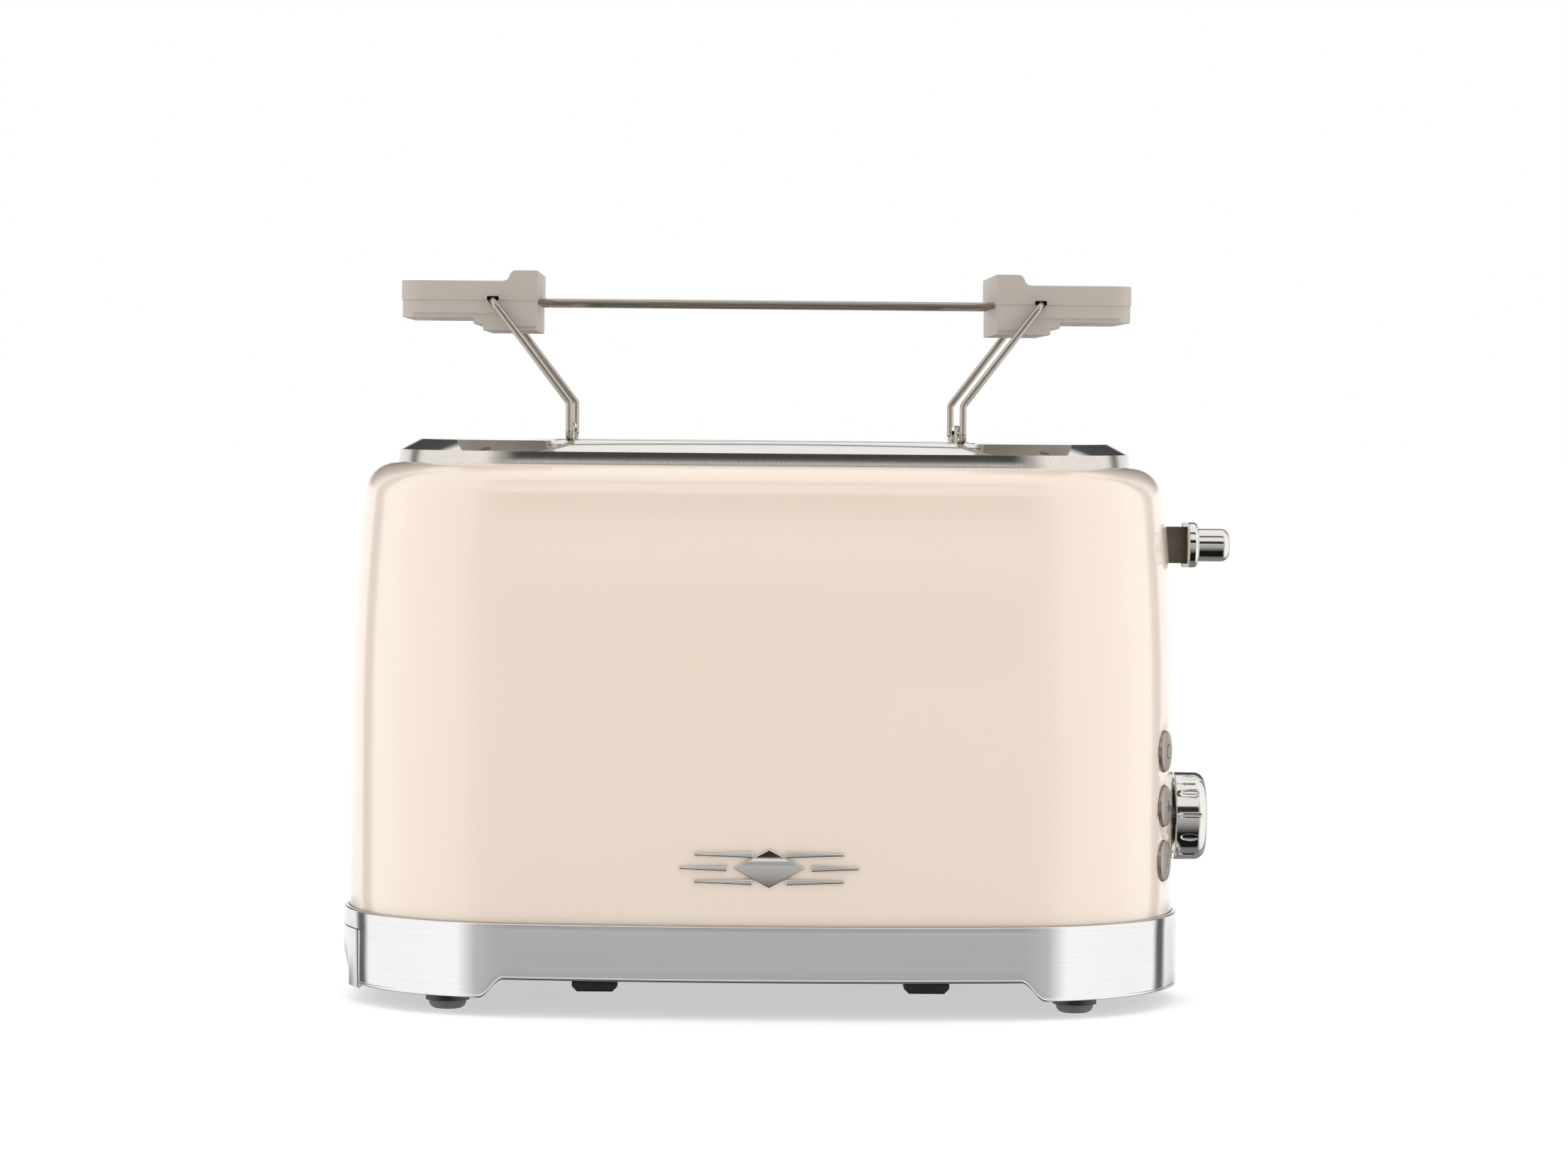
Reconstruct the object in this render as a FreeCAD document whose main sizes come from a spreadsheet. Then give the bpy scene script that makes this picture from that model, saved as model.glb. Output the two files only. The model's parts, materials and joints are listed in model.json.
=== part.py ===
import FreeCAD, Part
import math
import os
import re

import Sketcher
from FreeCAD import Placement, Rotation, Vector

# A two-slot pop-up toaster with a bun warmer, in millimetres.
# +X is the control end, -Y the front, +Z up.
# The origin is on the standing plane, under the housing's middle.

doc = FreeCAD.newDocument("PopUpToaster")
sheet = doc.addObject("Spreadsheet::Sheet", "Sizes")

SIZES = [
    # plan of the housing: eight arcs, front and back bows, end bows and corners
    ("body_length", 277.0, "shell length over the end bows"),
    ("body_depth", 168.0, "shell depth over the front and back bows"),
    ("front_bow", 600.0, "plan radius of the front and back"),
    ("end_bow", 98.0, "plan radius of the two ends"),
    ("corner_bow", 60.0, "plan radius of the four corners"),
    # shell
    ("shell_wall", 0.9, "painted steel thickness"),
    ("shell_foot", 28.8, "height of the shell's lower edge"),
    ("lean_start", 90.0, "height where the wall starts to lean in"),
    ("lean_bow", 800.0, "radius of the leaning wall"),
    ("shoulder_bow", 12.0, "radius of the shoulder"),
    ("shell_top", 179.0, "height of the shell's top flange"),
    ("shell_flange", 5.0, "width of the flange under the top panel"),
    # chromed skirt round the base
    ("skirt_ledge", 1.8, "how far the skirt stands proud of the shell"),
    ("skirt_wall", 1.0, "skirt thickness"),
    ("skirt_top", 30.3, "height of the skirt's ledge"),
    ("skirt_bottom", 6.0, "height of the skirt's lower edge at its legs"),
    ("skirt_joint", 0.35, "shadow gap between shell and skirt"),
    ("skirt_edge", 0.5, "chamfer of the skirt's upper edge"),
    ("seat_width", 4.0, "width of the seat under the shell"),
    ("arch_top", 12.2, "height of the arch in the skirt's front and back"),
    ("arch_half", 84.0, "half width of the flat of the arch"),
    ("arch_step", 8.0, "length of the S-curve at each end of the arch"),
    # black floor moulding
    ("floor_bottom", 12.0, "underside of the floor moulding"),
    ("floor_wall", 2.0, "floor thickness"),
    ("running_gap", 0.3, "clearance round the floor, tray and buttons"),
    ("rail_width", 1.6, "thickness of the tray rails"),
    ("rail_start", 8.0, "tray rails from the housing's left end"),
    ("screw_sink", 5.0, "depth of the screw heads in the floor"),
    ("vent_x", 112.0, "first vent slot from the middle"),
    ("vent_width", 2.6, "width of a vent slot"),
    ("vent_length", 30.0, "length of a vent slot"),
    ("vent_pitch", 5.0, "spacing of the vent slots"),
    ("vent_count", 4, "number of vent slots"),
    ("foot_x", 103.0, "feet from the middle, along the length"),
    ("foot_y", 52.0, "feet from the middle, across"),
    ("boss_radius", 7.2, "collar over each foot"),
    ("boss_bottom", 2.9, "height of the collar's lower face"),
    ("foot_radius", 6.1, "rubber foot"),
    ("foot_pad", 3.6, "radius of the foot's flat"),
    ("plug_radius", 2.8, "stem of the rubber foot"),
    ("plug_length", 5.0, "how far the stem goes into its collar"),
    ("cleat_x", 55.3, "cord cleats from the middle"),
    ("cleat_width", 15.2, "cleat flange, along the length"),
    ("cleat_length", 52.0, "cleat flange, across"),
    ("cleat_bottom", 3.0, "height of the cleat's lower face"),
    ("cleat_flange", 3.4, "thickness of the cleat's flange"),
    ("cleat_neck", 3.6, "half width of the cleat's neck"),
    ("post_x", 70.0, "chassis posts from the middle, along the length"),
    ("post_y", 50.0, "chassis posts from the middle, across"),
    ("post_half", 4.2, "half width of the posts under the end plates"),
    ("screw_radius", 1.6, "self-tapping screw shank"),
    ("screw_head", 3.2, "screw head radius"),
    ("screw_cap", 2.4, "screw head thickness"),
    ("screw_end", 2.0, "how far a screw's tip stands above the end plates' feet"),
    ("inlet_x", 60.0, "cord inlet from the middle, in the rear wall"),
    ("inlet_z", 21.5, "height of the cord inlet"),
    ("inlet_bore", 3.6, "radius of the cord inlet's bore"),
    ("inlet_radius", 5.0, "radius of the inlet bush in the wall"),
    ("inlet_flange", 6.4, "radius of the inlet bush's flange"),
    ("inlet_neck", 5.0, "length of the inlet bush inside the wall"),
    ("inlet_lip", 2.2, "thickness of the inlet bush's flange"),
    # crumb tray
    ("tray_half", 36.0, "half width of the tray"),
    ("tray_floor", 14.3, "underside of the tray"),
    ("tray_height", 8.0, "height of the tray's walls"),
    ("tray_end", 74.0, "inner end of the tray"),
    ("tray_sheet", 0.8, "tray sheet thickness"),
    ("tray_front_half", 37.4, "half width of the tray's front"),
    ("tray_front_top", 24.0, "height of the tray front's upper edge"),
    ("tray_front_bottom", 4.8, "height of the tray front's lower edge"),
    ("tray_scoop", 3.0, "depth of the finger scoop"),
    ("scoop_height", 12.0, "height of the finger scoop"),
    ("scoop_bow", 16.8, "radius of the finger scoop's hollow"),
    ("front_depth", 6.0, "depth of the tray's front, from the shell's end"),
    # top panel
    ("trim_inset", 15.5, "top panel's edge inside the shell's plan"),
    ("trim_band", 4.0, "height of the upright band"),
    ("trim_slope", 7.0, "width of the sloping rim"),
    ("trim_rise", 3.5, "height of the sloping rim"),
    ("trim_sheet", 0.8, "top panel thickness"),
    ("slot_half", 70.0, "half length of a bread slot"),
    ("slot_inner", 8.0, "slot's edge beside the bridge"),
    ("slot_outer", 42.0, "slot's outer edge"),
    ("slot_corner", 5.0, "slot corner radius"),
    ("lip_depth", 9.5, "depth of the slot's turned-down lip"),
    # toasting chamber
    ("plate_x", 77.2, "inner face of the end plates"),
    ("plate_half", 60.0, "half width of the end plates"),
    ("plate_foot", 26.0, "height of the end plates' feet"),
    ("plate_top", 176.5, "height of the end plates' tops"),
    ("plate_sheet", 0.8, "end plate and reflector thickness"),
    ("plate_flange", 12.0, "width of the end plates' folded feet"),
    ("drive_flange", 22.0, "width of the flanges that carry the lift"),
    ("drive_half", 28.0, "half length of the flanges that carry the lift"),
    ("board_y", 45.6, "mica boards from the middle"),
    ("board_sheet", 0.8, "mica thickness"),
    ("board_low", 44.0, "lower edge of the mica boards"),
    ("board_high", 164.0, "upper edge of the mica boards"),
    ("board_half", 72.0, "half length of the wound part of a board"),
    ("board_tab", 10.0, "height of a board's corner tabs"),
    ("ribbon_height", 2.0, "heating ribbon width"),
    ("ribbon_sheet", 0.25, "heating ribbon thickness"),
    ("ribbon_low", 60.0, "height of the lowest ribbon turn"),
    ("ribbon_pitch", 10.5, "height between ribbon turns"),
    ("ribbon_turns", 9, "ribbon turns on a board"),
    ("grid_outer", 41.0, "outer guard grids from the middle"),
    ("grid_inner", 9.0, "inner guard grids from the middle"),
    ("grid_travel", 7.0, "how far the grids close on the bread"),
    ("grid_wire", 0.9, "radius of a guard grid's rails"),
    ("upright_wire", 0.7, "radius of a guard grid's upright wires"),
    ("wire_sides", 6, "sides drawn on a thin wire or a screw"),
    ("grid_low", 48.0, "height of a grid's lower rail"),
    ("grid_high", 166.0, "height of a grid's upper rail"),
    ("grid_uprights", 6, "upright wires in a grid"),
    ("grid_pitch", 22.0, "spacing of the upright guard wires"),
    ("grid_reach", 80.4, "end of a grid's rails"),
    # bread lift
    ("lift_travel", 56.0, "how far the bread lift goes down"),
    ("rack_y", 25.0, "bread racks from the middle"),
    ("rack_top", 111.0, "height of the bread racks at rest"),
    ("rack_half", 6.0, "half width of a bread rack"),
    ("rack_reach", 70.0, "half length of a bread rack"),
    ("rack_sheet", 1.0, "bread rack thickness"),
    ("rack_tooth", 3.0, "height of the rack's teeth"),
    ("tooth_pitch", 12.0, "spacing of the rack's teeth"),
    ("tooth_count", 11, "teeth along a rack"),
    ("window_length", 26.0, "length of a rack's openings"),
    ("window_half", 1.4, "half width of a rack's openings"),
    ("window_edge", 4.0, "first opening from a rack's end"),
    ("window_count", 4, "openings along a rack"),
    ("tongue_half", 2.0, "half width of the rack's tongues"),
    ("bracket_x", 82.0, "inner face of the lift bracket"),
    ("bracket_sheet", 1.2, "lift bracket thickness"),
    ("bracket_drop", 5.0, "depth of the bracket's foot under the racks"),
    ("bracket_edge", 2.0, "height of the bracket's wings over the racks"),
    ("bracket_neck", 8.0, "height over the racks where the riser starts"),
    ("riser_half", 13.0, "half width of the bracket's riser"),
    ("arm_root", 5.0, "extra depth of the lever arm at the bracket"),
    ("keeper_sheet", 2.0, "thickness of the latch keeper"),
    ("keeper_half", 5.5, "half width of the latch keeper"),
    ("lever_z", 152.8, "height of the lever's middle"),
    ("lever_height", 12.3, "height of the lever arm"),
    ("lever_sheet", 1.6, "thickness of the lever arm"),
    ("lever_slot", 5.0, "width of the lever's slot in the shell"),
    ("lever_room", 1.5, "room above and below the lever in its slot"),
    ("lever_end", 145.0, "outer end of the lever arm"),
    ("core_x", 141.0, "inner face of the lever knob's core"),
    ("core_length", 2.1, "length of the core's two lugs"),
    ("core_web", 0.4, "thickness of the web between the core's lugs"),
    ("collar_length", 3.1, "length of the lever knob's collar"),
    ("collar_round", 1.4, "rounding of the collar's front edge"),
    ("barrel_round", 3.0, "rounding of the barrel's end"),
    ("collar_radius", 7.6, "lever knob's collar"),
    ("barrel_length", 10.8, "length of the lever knob's barrel"),
    ("barrel_radius", 5.5, "lever knob's barrel"),
    ("guide_x", 92.0, "guide rod, along the length"),
    ("guide_y", 9.0, "guide rod, across"),
    ("guide_radius", 2.5, "guide rod"),
    ("fit_gap", 0.05, "radial clearance of a running fit"),
    ("bush_radius", 5.0, "slide bush on the guide rod"),
    ("bush_length", 24.0, "length of the slide bush"),
    ("spring_low", 131.0, "lower end of the return spring"),
    ("spring_y", 9.0, "return spring, across"),
    ("spring_radius", 3.6, "mean radius of the return spring"),
    ("spring_wire", 0.6, "return spring wire radius"),
    ("spring_turns", 7, "turns of the return spring"),
    ("spring_sides", 10, "straight runs drawn in one of the spring's turns"),
    ("magnet_x", 91.0, "holding magnet, along the length"),
    ("magnet_y", 15.0, "holding magnet, across"),
    ("coil_radius", 7.0, "holding magnet's coil"),
    ("coil_height", 17.0, "height of the coil"),
    ("core_radius", 3.0, "holding magnet's core"),
    # controls in the right-hand end
    ("control_x", 110.0, "inner face of the control board"),
    ("board_thick", 1.6, "circuit board thickness"),
    ("control_top", 84.0, "upper edge of the control board"),
    ("control_half", 34.0, "half width of the control board"),
    ("dial_z", 61.4, "height of the browning dial"),
    ("dial_radius", 14.7, "browning dial"),
    ("dial_back", 139.0, "back edge of the dial"),
    ("dial_front", 150.1, "front face of the dial"),
    ("dial_wall", 1.8, "thickness of the dial's skirt"),
    ("dial_round", 4.2, "rounding of the dial's front edge"),
    ("dial_cap", 2.4, "thickness of the dial's face"),
    ("hub_radius", 5.0, "dial hub"),
    ("hub_set", 1.5, "how far the hub sits inside the dial's back edge"),
    ("flute_count", 12, "grip flutes round the dial"),
    ("flute_start", 1.6, "flutes from the dial's back edge"),
    ("flute_length", 6.6, "length of a flute"),
    ("flute_width", 2.6, "width of a flute"),
    ("flute_depth", 0.5, "depth of a flute"),
    ("pointer_width", 1.0, "width of the dial's pointer groove"),
    ("pointer_depth", 1.6, "depth of the dial's pointer groove"),
    ("pot_half", 8.5, "half width of the potentiometer's can"),
    ("pot_depth", 7.0, "depth of the potentiometer's body"),
    ("pot_neck", 4.5, "potentiometer neck"),
    ("shaft_radius", 3.0, "dial shaft"),
    ("shaft_room", 1.0, "clearance round the dial shaft in the shell"),
    ("button_angle", 18.5, "how far the buttons face round to the front"),
    ("button_z", 48.5, "height of the lowest button"),
    ("button_pitch", 18.2, "spacing of the buttons"),
    ("button_radius", 6.7, "button cap"),
    ("button_proud", 1.5, "how far a cap's rim stands out of the shell"),
    ("button_skirt", 3.0, "depth of a cap's skirt"),
    ("button_travel", 1.2, "how far a button goes in"),
    ("button_wall", 1.2, "thickness of a cap"),
    ("button_edge", 0.7, "chamfer of a cap's rim"),
    ("guide_depth", 3.0, "length of the stems' guide tubes"),
    ("guide_wall", 1.2, "thickness of the button guide"),
    ("guide_half", 9.0, "half width of the button guide and the board behind it"),
    ("stem_radius", 2.0, "button stem"),
    ("switch_plane", 82.0, "button board from the end bow's centre"),
    ("switch_height", 5.0, "height of a switch with its plunger"),
    ("switch_half", 3.0, "half width of a switch"),
    # bun warmer
    ("grip_inner", 75.3, "inner face of the grips"),
    ("grip_outer", 120.2, "outer end of the grips"),
    ("grip_half", 47.0, "half width of the grips"),
    ("grip_split", 232.3, "height of the grips' parting line, the rods and the legs' upper ends"),
    ("grip_under", 5.6, "grips below their parting line"),
    ("grip_over", 6.4, "grips above their parting line"),
    ("block_over", 9.9, "inner block above the parting line"),
    ("block_under", 9.8, "inner block below the parting line"),
    ("block_length", 7.1, "length of the inner block's top"),
    ("block_step", 4.4, "length of the S-curve beside the inner block"),
    ("grip_corner", 8.0, "plan radius of the grips' outer corners"),
    ("grip_wall", 2.0, "wall thickness of the grips"),
    ("grip_step", 96.0, "outer step under a grip"),
    ("grip_ledge", 3.1, "length of the ledge at the step under a grip"),
    ("grip_boss", 3.4, "screw boss inside a grip"),
    ("grip_screw", 1.4, "grip screw shank radius"),
    ("grip_screw_head", 2.8, "grip screw head radius"),
    ("grip_screw_x", 106.0, "grip screws, along the length"),
    ("grip_screw_y", 30.0, "grip screws, across"),
    ("rod_radius", 1.0, "warmer rod"),
    ("rod_count", 5, "rods in the warmer"),
    ("rod_grip", 9.0, "how far the rods go into a grip"),
    ("leg_pin", 8.0, "length of a leg's end inside its grip"),
    ("rod_spread", 30.0, "outer rods from the middle"),
    ("leg_wire", 1.15, "leg wire radius"),
    ("leg_bend", 2.3, "leg wire bend radius"),
    ("leg_half", 49.5, "legs from the middle, across"),
    ("leg_pivot_x", 90.0, "legs' upper ends, along the length"),
    ("leg_x", 64.5, "legs' lower stretches, along the length"),
    ("leg_knee_z", 199.0, "height of the legs' knees"),
    ("leg_rest_z", 187.7, "height of the wire where it lies on the top"),
    ("hook_z", 175.0, "height of the wire inside the slots"),
    ("hook_in", 36.0, "outer drop of the wire into a slot"),
    ("hook_out", 12.5, "inner drop of the wire into a slot"),
    ("hump_z", 191.2, "height of the wire over the bridge"),
]

for row, (name, value, note) in enumerate(SIZES, start=1):
    sheet.set(f"A{row}", name)
    sheet.set(f"B{row}", str(value))
    sheet.set(f"C{row}", note)
    sheet.setAlias(f"B{row}", name)
doc.recompute()

ALIAS = re.compile(r"\b[a-z]+(?:_[a-z]+)+\b")
made = {}


def bound(text):
    """An expression in the sheet's aliases, as FreeCAD objects read it."""
    return ALIAS.sub(lambda word: "Sizes." + word.group(0), text)


def value(text):
    return float(sheet.evalExpression(text))


def bind(item, **texts):
    """Bind properties to expressions; a double underscore stands for a dot."""
    for name, text in texts.items():
        item.setExpression(name.replace("__", "."), bound(text))


# ---- sketches ----------------------------------------------------------------

PLANES = {"floor": "XY_Plane", "front": "XZ_Plane", "end": "YZ_Plane"}


def body(label, whole=True):
    """A new body; one that is only a stage of a sub-part isn't whole."""
    item = doc.addObject("PartDesign::Body", label)
    if whole:
        made[label] = item
    return item


def sketch(owner, plane, offset="0"):
    item = owner.newObject("Sketcher::SketchObject", owner.Name + "Sketch")
    role = PLANES[plane]
    origin_plane = next(f for f in owner.Origin.OriginFeatures if f.Role == role)
    item.AttachmentSupport = (origin_plane, "")
    item.MapMode = "FlatFace"
    item.setExpression("AttachmentOffset.Base.z", bound(offset))
    return item


def pin(item, kind, edge, point, text):
    """Hold one coordinate of a sketch point at an expression."""
    index = item.addConstraint(Sketcher.Constraint(kind, edge, point, value(text)))
    item.setExpression(f"Constraints[{index}]", bound(text))


def arc_between(start, end, radius, turn):
    """The short arc of a radius; turn is 1 anticlockwise from start to end and -1 clockwise."""
    chord = end - start
    half = chord.Length / 2
    side = Vector(-chord.y, chord.x, 0).normalize() * turn
    centre = (start + end) / 2 + side * math.sqrt(max(radius**2 - half**2, 0))
    first, last = (start, end) if turn > 0 else (end, start)
    angles = [math.atan2(p.y - centre.y, p.x - centre.x) for p in (first, last)]
    circle = Part.Circle(centre, Vector(0, 0, 1), radius)
    return Part.ArcOfCircle(circle, angles[0], angles[1])


def outline(item, points, arcs=None):
    """A closed chain through points of two expressions; arcs maps a segment to its radius and turn."""
    arcs = arcs or {}
    places = [Vector(value(x), value(y), 0) for x, y in points]
    edges = []
    for n, start in enumerate(places):
        end = places[(n + 1) % len(places)]
        if n in arcs:
            radius, turn = arcs[n]
            edge = item.addGeometry(arc_between(start, end, value(radius), turn), False)
            edges.append((edge, 1, 2) if turn > 0 else (edge, 2, 1))
        else:
            edge = item.addGeometry(Part.LineSegment(start, end), False)
            edges.append((edge, 1, 2))
    for n, (edge, first, last) in enumerate(edges):
        following = edges[(n + 1) % len(edges)]
        item.addConstraint(Sketcher.Constraint("Coincident", edge, last, following[0], following[1]))
        pin(item, "DistanceX", edge, first, points[n][0])
        pin(item, "DistanceY", edge, first, points[n][1])
        if n in arcs:
            index = item.addConstraint(Sketcher.Constraint("Radius", edge, value(arcs[n][0])))
            item.setExpression(f"Constraints[{index}]", bound(arcs[n][0]))
    return item


def rectangle(item, low_x, low_y, high_x, high_y):
    return outline(item, [(low_x, low_y), (high_x, low_y), (high_x, high_y), (low_x, high_y)])


def rounded(item, low_x, low_y, high_x, high_y, radius):
    radius = f"({radius})"
    corners = [
        (f"{low_x} + {radius}", low_y), (f"{high_x} - {radius}", low_y),
        (high_x, f"{low_y} + {radius}"), (high_x, f"{high_y} - {radius}"),
        (f"{high_x} - {radius}", high_y), (f"{low_x} + {radius}", high_y),
        (low_x, f"{high_y} - {radius}"), (low_x, f"{low_y} + {radius}"),
    ]
    return outline(item, corners, {n: (radius, 1) for n in (1, 3, 5, 7)})


def circle(item, x, y, radius):
    place = Vector(value(x), value(y), 0)
    edge = item.addGeometry(Part.Circle(place, Vector(0, 0, 1), value(radius)), False)
    pin(item, "DistanceX", edge, 3, x)
    pin(item, "DistanceY", edge, 3, y)
    index = item.addConstraint(Sketcher.Constraint("Radius", edge, value(radius)))
    item.setExpression(f"Constraints[{index}]", bound(radius))
    return item


def plan(item, inset):
    """The housing's plan, moved inwards by an inset: front, right, back and left bows with four corners."""
    half_x, half_y = value("body_length / 2"), value("body_depth / 2")
    front, end, corner = value("front_bow"), value("end_bow"), value("corner_bow")
    gap = value(inset)
    far_y, far_x = front - half_y, half_x - end
    reach = math.hypot(far_x, far_y)
    along = ((front - corner) ** 2 - (end - corner) ** 2 + reach**2) / (2 * reach)
    aside = math.sqrt((front - corner) ** 2 - along**2)
    unit = Vector(far_x, -far_y, 0).normalize()
    centre = Vector(0, far_y, 0) + unit * along + Vector(-unit.y, unit.x, 0) * aside
    toward_front = math.atan2(centre.y - far_y, centre.x)
    toward_end = math.atan2(centre.y, centre.x - far_x)

    def arc(x, y, radius, first, last):
        ring = Part.Circle(Vector(x, y, 0), Vector(0, 0, 1), radius - gap)
        return item.addGeometry(Part.ArcOfCircle(ring, first, last), False)

    turn = math.pi
    bows = [
        arc(0, far_y, front, -turn - toward_front, toward_front),
        arc(far_x, 0, end, toward_end, -toward_end),
        arc(0, -far_y, front, -toward_front, turn + toward_front),
        arc(-far_x, 0, end, turn - toward_end, turn + toward_end),
    ]
    corners = [
        arc(centre.x, centre.y, corner, toward_front, toward_end),
        arc(centre.x, -centre.y, corner, -toward_end, -toward_front),
        arc(-centre.x, -centre.y, corner, turn + toward_front, turn + toward_end),
        arc(-centre.x, centre.y, corner, turn - toward_end, turn - toward_front),
    ]
    radii = ["front_bow", "end_bow"] * 2
    places = [
        ("0", "front_bow - body_depth / 2"), ("body_length / 2 - end_bow", "0"),
        ("0", "body_depth / 2 - front_bow"), ("end_bow - body_length / 2", "0"),
    ]
    for edge, radius, (x, y) in zip(bows, radii, places):
        pin(item, "DistanceX", edge, 3, x)
        pin(item, "DistanceY", edge, 3, y)
        index = item.addConstraint(Sketcher.Constraint("Radius", edge, value(radius) - gap))
        item.setExpression(f"Constraints[{index}]", bound(f"{radius} - ({inset})"))
    for n, edge in enumerate(corners):
        index = item.addConstraint(Sketcher.Constraint("Radius", edge, corner - gap))
        item.setExpression(f"Constraints[{index}]", bound(f"corner_bow - ({inset})"))
        item.addConstraint(Sketcher.Constraint("Tangent", bows[n], 2, edge, 1))
        item.addConstraint(Sketcher.Constraint("Tangent", edge, 2, bows[(n + 1) % 4], 1))
    return item


# ---- features ----------------------------------------------------------------


def pad(owner, profile, length, both=False, back=False):
    item = owner.newObject("PartDesign::Pad", owner.Name + "Pad")
    item.Profile = profile
    if both:
        item.SideType = "Symmetric"
    item.Reversed = back
    bind(item, Length=length)
    return item


def pocket(owner, profile, length, both=False, back=False):
    item = owner.newObject("PartDesign::Pocket", owner.Name + "Pocket")
    item.Profile = profile
    if both:
        item.SideType = "Symmetric"
    item.Reversed = back
    bind(item, Length=length)
    return item


def revolve(owner, profile, axis="X_Axis", cut=False):
    kind = "PartDesign::Groove" if cut else "PartDesign::Revolution"
    item = owner.newObject(kind, owner.Name + "Turn")
    item.Profile = profile
    item.ReferenceAxis = (next(f for f in owner.Origin.OriginFeatures if f.Role == axis), [""])
    item.Angle = 360
    return item


def repeat(owner, feature, axis, length, count):
    """A row of copies of a body's last feature."""
    item = owner.newObject("PartDesign::LinearPattern", owner.Name + "Row")
    item.Originals = [feature]
    item.Direction = (next(f for f in owner.Origin.OriginFeatures if f.Role == axis), [""])
    bind(item, Length=length, Occurrences=count)
    owner.Tip = item


# ---- simple solids -------------------------------------------------------------

TURNS = {
    "x": Rotation(Vector(0, 1, 0), 90),
    "y": Rotation(Vector(1, 0, 0), -90),
    "z": Rotation(),
}


def put(item, x, y, z):
    bind(item, Placement__Base__x=x, Placement__Base__y=y, Placement__Base__z=z)
    return item


def block(label, low, high):
    """A box between two corners of three expressions each."""
    item = doc.addObject("Part::Box", label)
    spans = [f"{b} - ({a})" for a, b in zip(low, high)]
    bind(item, Length=spans[0], Width=spans[1], Height=spans[2])
    return put(item, *low)


def rod(label, start, radius, length, axis="z"):
    item = doc.addObject("Part::Cylinder", label)
    item.Placement = Placement(Vector(), TURNS[axis])
    bind(item, Radius=radius, Height=length)
    return put(item, *start)


def bar(label, start, radius, length, axis="z"):
    """A straight drawn wire or a small screw's part, with few sides."""
    item = doc.addObject("Part::Prism", label)
    item.Placement = Placement(Vector(), TURNS[axis])
    bind(item, Polygon="wire_sides", Circumradius=radius, Height=length)
    return put(item, *start)


def fuse(label, items):
    item = doc.addObject("Part::MultiFuse", label)
    item.Shapes = items
    item.Refine = True
    return item


def cut(label, base, tools):
    item = doc.addObject("Part::Cut", label)
    item.Base = base
    item.Tool = tools[0] if len(tools) == 1 else fuse(label + "_tools", tools)
    return item


def group(label, items):
    """Identical loose solids that share one node."""
    item = doc.addObject("Part::Compound", label)
    item.Links = items
    return item


def keep(label, item):
    item.Label = label
    made[label] = item
    return item


def face_round(item):
    """Turn a piece made along X to face the way the buttons do, from the shell's surface."""
    item.Placement = Placement(Vector(), Rotation(Vector(0, 0, 1), -value("button_angle")))
    bind(item, Placement__Rotation__Angle="-button_angle")
    return put(
        item,
        "body_length / 2 - end_bow + end_bow * cos(button_angle)",
        "-end_bow * sin(button_angle)",
        "button_z",
    )


# ---- painted shell -------------------------------------------------------------

HALF = "body_length / 2"
SHOULDER_X = (
    f"({HALF} - lean_bow + sqrt((lean_bow - shoulder_bow)^2"
    " - (shell_top - shoulder_bow - lean_start)^2))"
)


def on_shoulder(radius):
    """Where a leaning wall of this radius meets its shoulder."""
    share = f"(({radius}) / (lean_bow - shoulder_bow))"
    across = f"({HALF} - lean_bow + ({SHOULDER_X} - {HALF} + lean_bow) * {share})"
    return across, f"(lean_start + (shell_top - shoulder_bow - lean_start) * {share})"


def make_shell():
    pressing = body("shell_pressing", whole=False)
    route = plan(sketch(pressing, "floor"), "0")
    inner = "shell_top - shell_wall"
    inner_bow = "(shoulder_bow - shell_wall)"
    section = outline(
        sketch(pressing, "front"),
        [
            (HALF, "shell_foot"), (HALF, "lean_start"), on_shoulder("lean_bow"),
            (SHOULDER_X, "shell_top"), (f"{SHOULDER_X} - shell_flange", "shell_top"),
            (f"{SHOULDER_X} - shell_flange", inner), (SHOULDER_X, inner),
            (f"{SHOULDER_X} + {inner_bow} * sin(45)", f"shell_top - shoulder_bow + {inner_bow} * cos(45)"),
            on_shoulder("lean_bow - shell_wall"), (f"{HALF} - shell_wall", "lean_start"),
            (f"{HALF} - shell_wall", "shell_foot"),
        ],
        {1: ("lean_bow", 1), 2: ("shoulder_bow", 1)},
    )
    sweep(pressing, section, route)
    low = "lever_z - lift_travel - lever_height / 2 - lever_room"
    high = "lever_z + lever_height / 2 + lever_room"
    lever_slot = rectangle(sketch(pressing, "end", HALF), "-lever_slot / 2", low, "lever_slot / 2", high)
    pocket(pressing, lever_slot, "shoulder_bow * 2", both=True)
    shaft_hole = circle(sketch(pressing, "end", HALF), "0", "dial_z", "shaft_radius + shaft_room")
    pocket(pressing, shaft_hole, "shoulder_bow * 2", both=True)
    holes = []
    for n in range(3):
        hole = rod(f"button_hole_{n}", ("0", "0", "0"), "button_radius + running_gap", "shoulder_bow", "x")
        holes.append(hole)
        hole.Placement = Placement(
            Vector(), Rotation(Vector(0, 0, 1), -value("button_angle")) * TURNS["x"],
        )
        radius = "(end_bow - shoulder_bow / 2)"
        put(
            hole,
            f"{HALF} - end_bow + {radius} * cos(button_angle)",
            f"-{radius} * sin(button_angle)",
            f"button_z + {n} * button_pitch",
        )
    return keep("outer_shell", cut("outer_shell", pressing, holes))


def sweep(owner, section, route):
    item = owner.newObject("PartDesign::AdditivePipe", owner.Name + "Sweep")
    item.Profile = section
    item.Spine = (route, [])
    item.Mode = "Standard"
    return item


# ---- base ----------------------------------------------------------------------


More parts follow.
